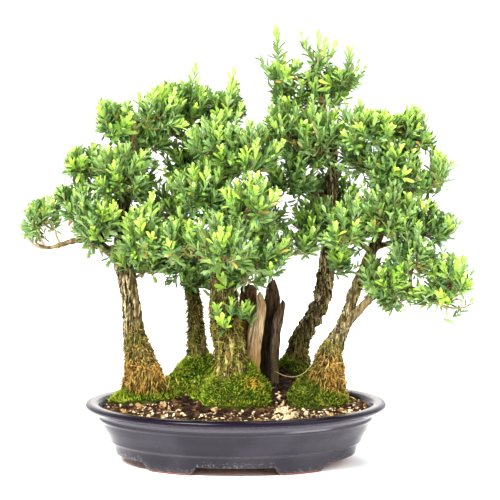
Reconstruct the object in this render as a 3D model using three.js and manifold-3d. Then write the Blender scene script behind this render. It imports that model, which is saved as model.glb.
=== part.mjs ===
// Boxwood forest bonsai: five small trees in an oval glazed pot, in millimetres, +Z up.
// The origin is on the surface that the pot stands on, under the middle of the planting.
// X runs along the pot, and the planting is seen from the front, looking along +Y.

import * as THREE from 'three';
import { mergeVertices } from 'three/addons/utils/BufferGeometryUtils.js';
import Module from 'manifold-3d';

const wasm = await Module();
wasm.setup();

// Pot
const POT_HALF_LENGTH = 180;
const POT_HALF_DEPTH = 135;
const POT_HEIGHT = 72;
const POT_FLOOR = 19;
const POT_SEGMENTS = 28;
const DEEPEST_INSET = 55;
const FOOT_HEIGHT = 11;
const FOOT_NEAR_END = 44;
const FOOT_FAR_END = 109;
const FOOT_END_SLOPE = 13;
const DRAIN_HOLE_RADIUS = 11;
const DRAIN_HOLE_X = 75;
const SCREEN_WIDTH = 42;
const SCREEN_THICKNESS = 1.6;
const SCREEN_BAR = 4;
const SCREEN_OPENINGS = 2;

// Ground
const SOIL_HEIGHT = 64;
const SOIL_EDGE_POWER = 8;
const MOSS_EDGE = 3;
const MOSS_SIDES = 8;
const BARE_SOIL_RISE = 7;
const CHIP_COUNT = 24;
const CHIP_SIZE = 14;
const PERLITE_COUNT = 12;
const PERLITE_SIZE = 7;
const GRAIN_NEAREST = 30;
const GRAIN_FURTHEST = 142;
const GROUND_SEED = 5;
const SLAB_SEED = 70;

// Plants
const LEAF_LENGTH = 21;
const LEAF_WIDTH = 9.5;
const LEAF_THICKNESS = 1.7;
const CORE_SHARE = 1.02;
const LEAF_LEAN = 1.7;
const LEAST_RISE = 0.55;
const LEAF_CLEAR_START = 3;
const LEAF_ATTEMPTS = 14;
// A leaf's root stays this share of a core face inside it, and ring faces are at least 1 mm2
const ROOT_MARGIN = 0.02;
const LEAST_RING_FACE = 1;
const SPRAY_SIZE_PER_LEAF = 2.3;
const TWIG_RADIUS = 1.7;
const BOUGH_RISE = 0.35;
const SHORTEST_BOUGH = 14;
const STEM_SIDES = 7;
const SIDE_STEM_SIDES = 5;
const BOUGH_SIDES = 3;
const SLAB_SIDES = 8;
const BOUGH_SEED_STEP = 100;
const SPRAY_SEED_FACTOR = 10;

// Clear space between neighbouring pieces
const GAP = 0.35;

// The crown reaches further to the right and to the back than the pot does, so the pot
// stands left and in front of the origin by these
const POT_ASIDE = 4;
const POT_FORWARD = 8;

const MATERIALS = {
  glaze: { color: '#3b3c4c', roughness: 0.22, metalness: 0 },
  soil: { color: '#5f4635', roughness: 0.95, metalness: 0 },
  moss: { color: '#5d8a16', roughness: 0.95, metalness: 0 },
  bark: { color: '#8d7a4e', roughness: 0.9, metalness: 0 },
  deadwood: { color: '#5b4638', roughness: 0.85, metalness: 0 },
  plastic: { color: '#22252a', roughness: 0.5, metalness: 0 },
  leaf: { color: '#4f8b33', roughness: 0.45, metalness: 0 },
};

// Root mounds of soil: centre, rise and reach
const SOIL_MOUNDS = [
  { at: [-110, 25], rise: 14, reach: 62 },
  { at: [-46, 65], rise: 22, reach: 66 },
  { at: [-2, -5], rise: 14, reach: 60 },
  { at: [73, 70], rise: 26, reach: 68 },
  { at: [111, 12], rise: 8, reach: 55 },
  { at: [32, 35], rise: 24, reach: 60 },
];

// Moss cushions: centre, half sizes along X and Y, and thickness in the middle
const MOSS_PATCHES = {
  moss_front_left: [
    { at: [-112, 22], half: [42, 38], thick: 13 },
    { at: [-76, 46], half: [36, 32], thick: 8 },
    { at: [-46, 62], half: [42, 34], thick: 13 },
    { at: [-26, 28], half: [34, 34], thick: 9 },
    { at: [0, -5], half: [43, 43], thick: 14 },
  ],
  moss_back_right: [{ at: [75, 70], half: [31, 25], thick: 13 }],
  moss_right: [{ at: [99, 4], half: [36, 34], thick: 12 }],
};

// Upright slabs of weathered wood, each a stack of sections: centre, half sizes and turn
const STUMP_SLABS = {
  stump_dark_slab: [
    { at: [13, 31, 78], half: [12, 6], turn: 0.1 },
    { at: [14, 30, 120], half: [12, 6.5], turn: 0.2 },
    { at: [13, 29, 165], half: [11.5, 6], turn: 0.1 },
    { at: [14, 29, 190], half: [11.5, 5], turn: 0 },
    { at: [13, 29, 205], half: [8.5, 4], turn: 0.2 },
  ],
  stump_tan_slab: [
    { at: [22, 18, 84], half: [7, 4], turn: 0.1 },
    { at: [22, 17, 116], half: [8.5, 4.5], turn: 0.2 },
    { at: [24, 15, 145], half: [12, 4.5], turn: 0.1 },
    { at: [28, 15, 172], half: [7.5, 4], turn: 0 },
    { at: [27, 15, 196], half: [2.5, 2], turn: 0.2 },
  ],
  stump_tall_slab: [
    { at: [38, 36, 78], half: [11, 6], turn: 0.2 },
    { at: [38, 36, 120], half: [11, 6.5], turn: 0.1 },
    { at: [41, 35, 160], half: [12, 6], turn: 0 },
    { at: [43, 35, 191], half: [10.5, 5], turn: 0.1 },
    { at: [44, 35, 213], half: [2, 2], turn: 0 },
  ],
  stump_side_slab: [
    { at: [47, 21, 80], half: [5, 3.5], turn: 0.1 },
    { at: [47, 21, 133], half: [4.5, 3.5], turn: 0.2 },
    { at: [50, 21, 160], half: [5.5, 3.5], turn: 0.1 },
    { at: [57, 22, 189], half: [2.5, 2], turn: 0 },
  ],
};

// The trees: stems as stations of x, y, z and radius, and the leafy sprays they carry
const TREES = [
  {
    name: 'left',
    seed: 11,
    stems: [
      [
        [-110, 25, 62, 26], [-110, 25, 88, 25], [-113, 25, 108, 21], [-119, 25, 132, 14],
        [-124, 25, 152, 11.5], [-126, 25, 178, 10.4], [-130, 25, 213, 10.4], [-136, 25, 236, 10.5],
        [-137, 24, 262, 8.5], [-133, 22, 312, 7], [-127, 20, 365, 5], [-118, 20, 405, 3],
      ],
      [
        [-134, 25, 228, 7], [-148, 24, 246, 6.4], [-172, 21, 262, 5], [-200, 24, 262, 4],
        [-226, 30, 268, 3], [-233, 30, 284, 2.2],
      ],
    ],
    sprays: [
      { name: 'tip', at: [-235, 30, 289], size: [28, 25, 24] },
      { name: 'outer', at: [-196, 18, 306], size: [28, 27, 25] },
      { name: 'low', at: [-160, -14, 283], size: [31, 28, 25] },
      { name: 'side', at: [-182, 36, 352], size: [27, 27, 26] },
      { name: 'heart', at: [-140, -6, 338], size: [30, 27, 28] },
      { name: 'top', at: [-142, 24, 400], size: [29, 28, 29] },
      { name: 'crown', at: [-98, 20, 412], size: [29, 28, 29] },
      { name: 'front', at: [-110, -26, 268], size: [31, 28, 26] },
      { name: 'back', at: [-136, 84, 334], size: [36, 32, 38] },
    ],
  },
  {
    name: 'back_left',
    seed: 23,
    stems: [
      [
        [-46, 65, 62, 24], [-46, 65, 92, 19], [-47, 65, 112, 13.5], [-48, 65, 130, 11.5],
        [-49, 65, 160, 10], [-52, 65, 191, 8.8], [-64, 66, 225, 8], [-73, 67, 259, 7],
        [-74, 68, 308, 6], [-68, 70, 357, 5], [-50, 72, 395, 3.4],
      ],
    ],
    sprays: [
      { name: 'shoulder', at: [-60, 62, 420], size: [28, 27, 27] },
      { name: 'top', at: [-16, 70, 424], size: [31, 29, 31] },
      { name: 'heart', at: [-52, 66, 356], size: [33, 29, 30] },
      { name: 'low', at: [-78, 58, 300], size: [32, 29, 30] },
      { name: 'skirt', at: [-64, 48, 236], size: [30, 26, 20] },
      { name: 'back', at: [-30, 108, 350], size: [36, 30, 40] },
    ],
  },
  {
    name: 'centre',
    seed: 37,
    stems: [
      [
        [-2, -5, 60, 27], [-3, -5, 88, 25], [-4, -5, 106, 20], [-5, -5, 120, 17.5],
        [-8, -5, 142, 16.5], [-12, -5, 165, 17], [-14, -5, 184, 16], [-15, -5, 207, 16.5],
        [-16, -6, 228, 12.5], [-16, -8, 256, 9.5], [-16, -10, 300, 7.5], [-10, -14, 345, 4],
      ],
      [[-10, -6, 212, 8], [6, -10, 228, 6.5], [16, -18, 250, 5], [22, -26, 275, 3.5]],
    ],
    sprays: [
      { name: 'shoulder', at: [-24, -14, 376], size: [28, 26, 27] },
      { name: 'top', at: [18, -24, 362], size: [28, 27, 28] },
      { name: 'heart', at: [-42, -32, 322], size: [29, 27, 27] },
      { name: 'right', at: [12, -58, 312], size: [30, 28, 27] },
      { name: 'outer', at: [-58, -48, 268], size: [28, 26, 27] },
      { name: 'front', at: [-12, -78, 258], size: [33, 28, 31] },
      { name: 'side', at: [34, -38, 252], size: [28, 27, 31] },
      { name: 'back', at: [24, 26, 298], size: [30, 28, 32] },
    ],
  },
  {
    name: 'back_right',
    seed: 41,
    stems: [
      [
        [73, 70, 62, 26], [73, 70, 98, 20], [75, 70, 118, 14], [79, 70, 136, 12],
        [90, 70, 155, 11], [101, 70, 172, 10.5], [108, 70, 190, 10.2], [112, 70, 222, 9.6],
        [113, 69, 252, 9], [115, 66, 308, 8], [119, 62, 366, 6.5], [106, 62, 415, 4.6],
        [98, 64, 460, 3],
      ],
    ],
    sprays: [
      { name: 'peak_left', at: [55, 58, 474], size: [26, 25, 31] },
      { name: 'peak', at: [99, 60, 482], size: [27, 27, 34] },
      { name: 'peak_right', at: [134, 68, 462], size: [25, 26, 31] },
      { name: 'shoulder', at: [60, 22, 386], size: [30, 28, 27] },
      { name: 'heart', at: [104, 12, 384], size: [30, 27, 30] },
      { name: 'low', at: [70, 34, 335], size: [30, 27, 26] },
      { name: 'skirt', at: [101, 46, 276], size: [27, 26, 27] },
      { name: 'back', at: [86, 108, 372], size: [36, 30, 38] },
      { name: 'back_low', at: [118, 106, 300], size: [32, 29, 32] },
    ],
  },
  {
    name: 'right',
    seed: 59,
    stems: [
      [
        [111, 12, 62, 25], [111, 12, 84, 19.5], [110, 12, 102, 14.5], [111, 12, 120, 12],
        [118, 12, 142, 11.2], [125, 12, 156, 10.6], [131, 12, 178, 8], [144, 12, 209, 7.5],
        [161, 12, 246, 7], [176, 12, 284, 6.2], [186, 14, 330, 5], [186, 18, 372, 3],
      ],
      [
        [122, 12, 150, 7], [134, 8, 165, 6.2], [146, 5, 179, 5.8], [166, 0, 202, 5.6],
        [186, -8, 210, 5], [212, -22, 208, 4], [234, -34, 202, 3], [248, -44, 210, 2.4],
      ],
    ],
    sprays: [
      { name: 'shoulder', at: [152, -4, 392], size: [27, 27, 27] },
      { name: 'top', at: [190, 26, 396], size: [27, 27, 27] },
      { name: 'outer_top', at: [228, 30, 376], size: [29, 27, 28] },
      { name: 'outer', at: [238, 10, 334], size: [24, 25, 21] },
      { name: 'heart', at: [184, -2, 346], size: [30, 27, 26] },
      { name: 'bright', at: [134, -44, 276], size: [31, 28, 27] },
      { name: 'inner', at: [176, -26, 294], size: [29, 27, 27] },
      { name: 'side', at: [222, -4, 282], size: [33, 28, 28] },
      { name: 'front', at: [198, -46, 248], size: [28, 26, 25] },
      { name: 'low', at: [176, -30, 212], size: [24, 24, 22] },
      { name: 'tip', at: [255, -46, 224], size: [27, 26, 25] },
      { name: 'back', at: [196, 84, 320], size: [36, 32, 40] },
    ],
  },
];

// Repeatable random numbers between 0 and 1
function randomFrom(seed) {
  let state = seed * 2654435761;
  return () => {
    state = (state + 0x6d2b79f5) | 0;
    let mixed = Math.imul(state ^ (state >>> 15), 1 | state);
    mixed = (mixed + Math.imul(mixed ^ (mixed >>> 7), 61 | mixed)) ^ mixed;
    return ((mixed ^ (mixed >>> 14)) >>> 0) / 4294967296;
  };
}

function solidOf(geometry) {
  const bare = geometry.clone();
  bare.deleteAttribute('normal');
  bare.deleteAttribute('uv');
  const merged = mergeVertices(bare, 1e-3);
  return new wasm.Manifold(
    new wasm.Mesh({
      numProp: 3,
      vertProperties: new Float32Array(merged.attributes.position.array),
      triVerts: new Uint32Array(merged.index.array),
    }),
  );
}

function geometryOf(solid) {
  const mesh = solid.getMesh();
  const geometry = new THREE.BufferGeometry();
  geometry.setAttribute('position', new THREE.Float32BufferAttribute(mesh.vertProperties, 3));
  geometry.setIndex(Array.from(mesh.triVerts));
  return geometry;
}

function joined(solids) {
  return solids.reduce((sum, next) => sum.add(next));
}

// Closed body through rings of points, each ring end closed to its own middle point
function loft(rings) {
  const sides = rings[0].length;
  const positions = rings.flat().flatMap((point) => point.toArray());
  const indices = [];
  for (let ring = 0; ring + 1 < rings.length; ring += 1) {
    for (let side = 0; side < sides; side += 1) {
      const low = ring * sides + side;
      const lowNext = ring * sides + ((side + 1) % sides);
      indices.push(low, lowNext, low + sides);
      indices.push(lowNext, lowNext + sides, low + sides);
    }
  }
  for (const [ring, flip] of [[0, true], [rings.length - 1, false]]) {
    const middle = new THREE.Vector3();
    rings[ring].forEach((point) => middle.addScaledVector(point, 1 / sides));
    const centre = positions.length / 3;
    positions.push(...middle.toArray());
    for (let side = 0; side < sides; side += 1) {
      const here = ring * sides + side;
      const next = ring * sides + ((side + 1) % sides);
      indices.push(...(flip ? [centre, next, here] : [centre, here, next]));
    }
  }
  const geometry = new THREE.BufferGeometry();
  geometry.setAttribute('position', new THREE.Float32BufferAttribute(positions, 3));
  geometry.setIndex(indices);
  return geometry;
}

// Point of the oval ring whose half length is reach: the pot's oval drawn in by an even
// inset, and shrunk evenly once it is well inside
function ovalPoint(angle, reach) {
  const inset = Math.min(POT_HALF_LENGTH - reach, DEEPEST_INSET);
  const out = new THREE.Vector2(POT_HALF_DEPTH * Math.cos(angle), POT_HALF_LENGTH * Math.sin(angle));
  const point = new THREE.Vector2(POT_HALF_LENGTH * Math.cos(angle), POT_HALF_DEPTH * Math.sin(angle));
  point.addScaledVector(out.normalize(), -inset);
  return point.multiplyScalar(Math.min(1, reach / (POT_HALF_LENGTH - DEEPEST_INSET)));
}

// Body turned from a profile of half length and height, with its circles made oval
function ovalLathe(profile, lift = () => 0) {
  const points = profile.map(([reach, height]) => new THREE.Vector2(reach, height));
  const geometry = new THREE.LatheGeometry(points, POT_SEGMENTS);
  const position = geometry.attributes.position;
  for (let i = 0; i < position.count; i += 1) {
    const reach = Math.hypot(position.getX(i), position.getZ(i));
    const angle = Math.atan2(-position.getZ(i), position.getX(i));
    const flat = ovalPoint(angle, reach);
    const height = position.getY(i);
    position.setXYZ(i, flat.x, flat.y, height + lift(flat.x, flat.y, height));
  }
  return solidOf(geometry);
}

// Inside of the pot wall, shared by the pot and by the soil that fills it
const INNER_WALL = [
  [130, POT_FLOOR],
  [139, POT_FLOOR + 6],
  [150, 42],
  [160, SOIL_HEIGHT],
];

// One foot ends in a bracket curve, so the space between feet is cut with this outline
function footSpace(left, right) {
  const shape = new THREE.Shape();
  shape.moveTo(left - FOOT_END_SLOPE, -1);
  shape.lineTo(right + FOOT_END_SLOPE, -1);
  shape.quadraticCurveTo(right + FOOT_END_SLOPE / 4, FOOT_HEIGHT / 4, right, FOOT_HEIGHT);
  shape.lineTo(left, FOOT_HEIGHT);
  shape.quadraticCurveTo(left - FOOT_END_SLOPE / 4, FOOT_HEIGHT / 4, left - FOOT_END_SLOPE, -1);
  const space = new THREE.ExtrudeGeometry(shape, {
    depth: 2 * POT_HALF_DEPTH,
    bevelEnabled: false,
    curveSegments: 3,
  });
  space.rotateX(Math.PI / 2);
  space.translate(0, POT_HALF_DEPTH, 0);
  return solidOf(space);
}

function makePot() {
  const rim = POT_HEIGHT;
  let pot = ovalLathe([
    [0, FOOT_HEIGHT + 0.8],
    [127, FOOT_HEIGHT + 0.8],
    [129, 0],
    [139, 0],
    [143, FOOT_HEIGHT],
    [147, rim - 49],
    [151, rim - 47],
    [152, rim - 44],
    [159, rim - 31],
    [162.5, rim - 21],
    [164.5, rim - 19],
    [164, rim - 15],
    [168, rim - 10],
    [178, rim - 7],
    [180, rim - 4],
    [178.5, rim - 0.6],
    [175, rim],
    [166, rim - 0.6],
    ...INNER_WALL.toReversed(),
    [0, POT_FLOOR],
  ]);
  const farSpace = POT_HALF_LENGTH - FOOT_FAR_END;
  pot = pot.subtract(footSpace(-FOOT_NEAR_END, FOOT_NEAR_END));
  pot = pot.subtract(footSpace(FOOT_FAR_END, FOOT_FAR_END + farSpace));
  pot = pot.subtract(footSpace(-FOOT_FAR_END - farSpace, -FOOT_FAR_END));
  for (const x of [-DRAIN_HOLE_X, DRAIN_HOLE_X]) {
    const hole = new THREE.CylinderGeometry(DRAIN_HOLE_RADIUS, DRAIN_HOLE_RADIUS, 40, 10);
    hole.rotateX(Math.PI / 2);
    hole.translate(x, 0, POT_FLOOR);
    pot = pot.subtract(solidOf(hole));
  }
  return pot;
}

// Square plastic mesh that keeps the soil in above a drain hole: bars over cross bars
function makeScreen(x) {
  const pitch = (SCREEN_WIDTH - SCREEN_BAR) / SCREEN_OPENINGS;
  const middle = POT_FLOOR + GAP + SCREEN_THICKNESS / 2;
  const bars = [];
  for (let i = 0; i <= SCREEN_OPENINGS; i += 1) {
    const place = i * pitch - (SCREEN_OPENINGS / 2) * pitch;
    const bar = new THREE.BoxGeometry(SCREEN_WIDTH, SCREEN_BAR, SCREEN_THICKNESS);
    const crossBar = new THREE.BoxGeometry(SCREEN_BAR, SCREEN_WIDTH, SCREEN_THICKNESS * 0.7);
    bar.translate(x, place, middle);
    crossBar.translate(x + place, 0, middle);
    bars.push(solidOf(bar), solidOf(crossBar));
  }
  return joined(bars);
}

function makeScreenPocket(x) {
  const width = SCREEN_WIDTH + 2 * GAP;
  const depth = SCREEN_THICKNESS + 4 * GAP;
  const box = new THREE.BoxGeometry(width, width, depth);
  box.translate(x, 0, POT_FLOOR + depth / 2);
  return solidOf(box);
}

// Share of a mound's height at a distance from its middle, counted in its reach
function dome(share) {
  return Math.max(0, 1 - share * share) ** 1.5;
}

// Height of the soil: level at the wall, with a mound under each tree
function soilHeight(x, y) {
  const [wallReach] = INNER_WALL.at(-1);
  const inset = POT_HALF_LENGTH - wallReach;
  const outward = Math.hypot(x / wallReach, y / (POT_HALF_DEPTH - inset));
  const clear = Math.max(0, 1 - outward ** SOIL_EDGE_POWER);
  const rise = SOIL_MOUNDS.reduce(
    (sum, mound) => sum + mound.rise * dome(Math.hypot(x - mound.at[0], y - mound.at[1]) / mound.reach),
    0,
  );
  return SOIL_HEIGHT + rise * clear;
}

function underMoss(x, y, margin) {
  return Object.values(MOSS_PATCHES).flat().some(({ at, half }) => {
    return Math.hypot((x - at[0]) / (half[0] + margin), (y - at[1]) / (half[1] + margin)) < 1;
  });
}

function makeSoilBody() {
  const side = INNER_WALL.map(([reach, height], i) => {
    return [reach - GAP - 0.1, i === 0 ? height + GAP + 0.1 : height];
  });
  const top = [132, 96, 56, 0].map((reach) => [reach, SOIL_HEIGHT]);
  const profile = [[0, POT_FLOOR + GAP + 0.1], ...side, ...top];
  const lift = (x, y, height) => (height < SOIL_HEIGHT - 1 ? 0 : soilHeight(x, y) - SOIL_HEIGHT);
  return ovalLathe(profile, lift);
}

// Bark chips and perlite grains: flat or round blocks half sunk where no moss covers the soil
function makeGrains(count, size, flatness, random) {
  const grains = [];
  while (grains.length < count) {
    const reach = GRAIN_NEAREST + (GRAIN_FURTHEST - GRAIN_NEAREST) * Math.sqrt(random());
    const flat = ovalPoint(random() * 2 * Math.PI, reach);
    const ground = soilHeight(flat.x, flat.y);
    if (ground > SOIL_HEIGHT + BARE_SOIL_RISE || underMoss(flat.x, flat.y, size * 0.6)) continue;
    const scale = (size / 2) * (0.75 + 0.5 * random());
    const isChip = flatness < 0.5;
    const grain = isChip ? new THREE.TetrahedronGeometry(scale * 1.3) : new THREE.OctahedronGeometry(scale);
    grain.rotateX(random() * Math.PI);
    grain.rotateY(random() * Math.PI);
    grain.scale(1, 0.8, flatness);
    grain.rotateZ(random() * 2 * Math.PI);
    grain.translate(flat.x, flat.y, ground + scale * flatness * 0.2);
    grains.push(solidOf(grain));
  }
  return grains;
}

// Moss cushion that follows the soil, thickest in the middle, with an uneven outline
function makeMossPatch({ at, half, thick }, random) {
  const wobble = Array.from({ length: MOSS_SIDES }, () => 0.92 + 0.14 * random());
  const ring = (share, height) => wobble.map((factor, side) => {
    const angle = (side / MOSS_SIDES) * 2 * Math.PI;
    const x = at[0] + half[0] * share * factor * Math.cos(angle);
    const y = at[1] + half[1] * share * factor * Math.sin(angle);
    return new THREE.Vector3(x, y, soilHeight(x, y) + height(share) * (0.85 + 0.3 * random()));
  });
  const surface = (share) => MOSS_EDGE + thick * (1 - share * share);
  return solidOf(loft([
    ring(0.96, () => -4),
    ring(1, () => MOSS_EDGE),
    ring(0.6, surface),
  ]));
}

// Rounded limb along stations of x, y, z and radius, with uneven bark, made thicker by grow
function makeLimb(stations, sides, steps, seed, grow = 0) {
  const random = randomFrom(seed);
  const points = stations.map(([x, y, z]) => new THREE.Vector3(x, y, z));
  const curve = new THREE.CatmullRomCurve3(points, false, 'centripetal');
  const span = points.at(-1).clone().sub(points[0]).normalize();
  const lies = Math.abs(span.x) > Math.abs(span.z);
  const aside = lies ? new THREE.Vector3(0, 0, 1) : new THREE.Vector3(1, 0, 0);
  const flutes = Array.from({ length: sides }, () => 0.93 + 0.12 * random());
  const rings = [];
  for (let step = 0; step <= steps; step += 1) {
    const share = step / steps;
    const place = share * (stations.length - 1);
    const before = Math.min(Math.floor(place), stations.length - 2);
    const blend = place - before;
    const radius = stations[before][3] * (1 - blend) + stations[before + 1][3] * blend;
    const along = curve.getTangent(share);
    const across = new THREE.Vector3().crossVectors(along, aside).normalize();
    const up = new THREE.Vector3().crossVectors(across, along).normalize();
    const centre = curve.getPoint(share);
    if (step === 0) centre.addScaledVector(along, -grow);
    if (step === steps) centre.addScaledVector(along, grow);
    rings.push(flutes.map((flute, side) => {
      const angle = (side / sides) * 2 * Math.PI;
      const bark = flute * (0.95 + 0.1 * random());
      const reach = radius * bark + 1.15 * grow;
      return centre.clone()
        .addScaledVector(up, reach * Math.cos(angle))
        .addScaledVector(across, reach * Math.sin(angle));
    }));
  }
  return solidOf(loft(rings));
}

// A bough leaves the stem where it can rise gently to the middle of its spray, and a spray
// that a stem already reaches has none
function boughStations(stems, at) {
  const goal = new THREE.Vector3(...at);
  let best = null;
  for (const stem of stems) {
    const curve = new THREE.CatmullRomCurve3(
      stem.map(([x, y, z]) => new THREE.Vector3(x, y, z)), false, 'centripetal',
    );
    for (let share = 0.35; share <= 1; share += 0.01) {
      const point = curve.getPoint(share);
      const flat = Math.hypot(goal.x - point.x, goal.y - point.y);
      const wanted = goal.z - 6 - BOUGH_RISE * flat;
      const cost = Math.abs(point.z - wanted) + 0.6 * flat;
      const place = share * (stem.length - 1);
      const before = Math.min(Math.floor(place), stem.length - 2);
      const thickness = stem[before][3];
      if (!best || cost < best.cost) best = { cost, point, flat, thickness };
    }
  }
  if (best.point.distanceTo(goal) < SHORTEST_BOUGH) return null;
  const radius = Math.min(best.thickness * 0.75, TWIG_RADIUS + 0.028 * best.flat);
  const middle = best.point.clone().lerp(goal, 0.5);
  middle.z -= 0.06 * best.flat;
  return [
    [...best.point.toArray(), radius],
    [...middle.toArray(), (radius + TWIG_RADIUS) / 2],
    [...at, TWIG_RADIUS],
  ];
}

function makeWood(tree, grow) {
  const limbs = tree.stems.map((stem, i) => {
    const sides = i === 0 ? STEM_SIDES : SIDE_STEM_SIDES;
    return makeLimb(stem, sides, stem.length - 1, tree.seed + i, grow);
  });
  tree.sprays.forEach((spray, i) => {
    const stations = boughStations(tree.stems, spray.at);
    if (stations) limbs.push(makeLimb(stations, BOUGH_SIDES, 2, tree.seed + BOUGH_SEED_STEP + i, grow));
  });
  return joined(limbs);
}

// Weathered slab with a ragged, split surface
function makeSlab(sections, seed, grow = 0) {
  const random = randomFrom(seed);
  return solidOf(loft(sections.map(({ at, half, turn }, section) => {
    const lower = section === 0 ? 2 * grow : 0;
    return Array.from({ length: SLAB_SIDES }, (_, side) => {
      const angle = (side / SLAB_SIDES) * 2 * Math.PI + turn;
      const rough = 0.82 + 0.3 * random();
      return new THREE.Vector3(
        at[0] + (half[0] * rough + 1.3 * grow) * Math.cos(angle),
        at[1] + (half[1] * rough + 1.3 * grow) * Math.sin(angle),
        at[2] + (random() - 0.5) * 6 - lower,
      );
    });
  })));
}

// Leaf on one face of a core: a narrow root in the face, a blade that is widest past the
// middle and blunt at the tip, flat underneath and raised along the middle on top
function leafPoints(root, along, across, grow = 0) {
  const face = new THREE.Vector3().crossVectors(along, across).normalize();
  const place = (share, side, height) => root.clone()
    .addScaledVector(along, LEAF_LENGTH * share + 2 * grow * Math.sign(share - 0.5))
    .addScaledVector(across, (LEAF_WIDTH / 2) * side + 2 * grow * Math.sign(side))
    .addScaledVector(face, height - grow + 3 * grow * Math.sign(height));
  return {
    root: [place(0, -0.3, 0), place(0, 0.3, 0), place(0, 0, LEAF_THICKNESS)],
    wide: [place(0.58, -1, 0), place(0.58, 1, 0)],
    tip: [place(0.96, -0.5, 0), place(0.96, 0.5, 0)],
  };
}

// Faces of a leaf whose root, wide and tip points are numbered from first
function leafFaces(first) {
  const [left, right, ridge, leftWide, rightWide, leftTip, rightTip] =
    Array.from({ length: 7 }, (_, i) => first + i);
  return [
    left, right, rightWide, left, rightWide, leftWide,
    leftWide, rightWide, rightTip, leftWide, rightTip, leftTip,
    right, ridge, rightWide, rightWide, ridge, rightTip,
    rightTip, ridge, leftTip, leftTip, ridge, leftWide, leftWide, ridge, left,
  ];
}

function meshOf(points, indices) {
  const geometry = new THREE.BufferGeometry();
  const positions = points.flatMap((point) => point.toArray());
  geometry.setAttribute('position', new THREE.Float32BufferAttribute(positions, 3));
  geometry.setIndex(indices);
  return geometry;
}

function leafSolid({ root, wide, tip }) {
  return solidOf(meshOf([...root, ...wide, ...tip], [...leafFaces(0), 0, 2, 1]));
}

// How far a core may reach in a direction before the plane that parts it from another spray,
// which lies between the two in the ratio of their sizes
function roomTowards(direction, spray, sprays) {
  const mean = ({ size }) => (size[0] + size[1] + size[2]) / 3;
  const limits = sprays.filter((other) => other !== spray).map((other) => {
    const towards = new THREE.Vector3(...other.at).sub(new THREE.Vector3(...spray.at));
    const plane = towards.length() * mean(spray) / (mean(spray) + mean(other)) - GAP;
    const closing = direction.dot(towards.normalize());
    return closing > 0 ? plane / closing : Infinity;
  });
  return Math.min(...limits);
}

// Rough core of a leafy spray: the tangle of twigs and inner leaves, as points and faces
function makeCore(spray, sprays, random) {
  const geometry = new THREE.IcosahedronGeometry(1, 0);
  geometry.rotateX(random() * Math.PI);
  geometry.rotateZ(random() * Math.PI);
  geometry.deleteAttribute('normal');
  geometry.deleteAttribute('uv');
  const ball = mergeVertices(geometry, 1e-3);
  const points = [];
  for (let i = 0; i < ball.attributes.position.count; i += 1) {
    const out = new THREE.Vector3().fromBufferAttribute(ball.attributes.position, i);
    out.multiply(new THREE.Vector3(...spray.size)).multiplyScalar(CORE_SHARE * (0.85 + 0.2 * random()));
    const room = roomTowards(out.clone().normalize(), spray, sprays);
    points.push(out.clampLength(0, room).add(new THREE.Vector3(...spray.at)));
  }
  const index = Array.from(ball.index.array);
  const faces = [];
  for (let i = 0; i < index.length; i += 3) faces.push(index.slice(i, i + 3));
  return { points, faces };
}

function boxed(solid) {
  return { solid, box: solid.boundingBox() };
}

function boxesMeet(a, b) {
  return [0, 1, 2].every((k) => a.min[k] < b.max[k] && b.min[k] < a.max[k]);
}

function meets(piece, others) {
  const box = piece.boundingBox();
  return others.some((other) => boxesMeet(box, other.box) && !piece.intersect(other.solid).isEmpty());
}

// Leaf root moved along the leaf onto the plane of its core face
function seated(root, along, middle, out) {
  return root.map((point) => {
    const rise = point.clone().sub(middle).dot(out);
    return point.clone().addScaledVector(along, -rise / along.dot(out));
  });
}

// Ring of six faces between the corners of a core face and the leaf root inside it, or
// nothing where the root reaches past the face or no ring lies flat around it
function rootRing(corners, root, out) {
  const face = new THREE.Triangle(...corners);
  const inside = root.every((point) => {
    const shares = face.getBarycoord(point, new THREE.Vector3());
    return Math.min(shares.x, shares.y, shares.z) > ROOT_MARGIN;
  });
  if (!inside) return undefined;
  const rings = [0, 1, 2].map((turn) => [0, 1, 2].flatMap((k) => {
    const next = (k + 1) % 3;
    const [inner, innerNext] = [3 + (k + turn) % 3, 3 + (next + turn) % 3];
    return [[k, next, inner], [next, innerNext, inner]];
  }));
  const points = [...corners, ...root];
  const flat = (ring) => ring.every((triangle) => {
    const side = new THREE.Triangle(...triangle.map((i) => points[i]));
    return side.getArea() > LEAST_RING_FACE && side.getNormal(new THREE.Vector3()).dot(out) > 0;
  });
  return rings.find(flat);
}

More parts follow.
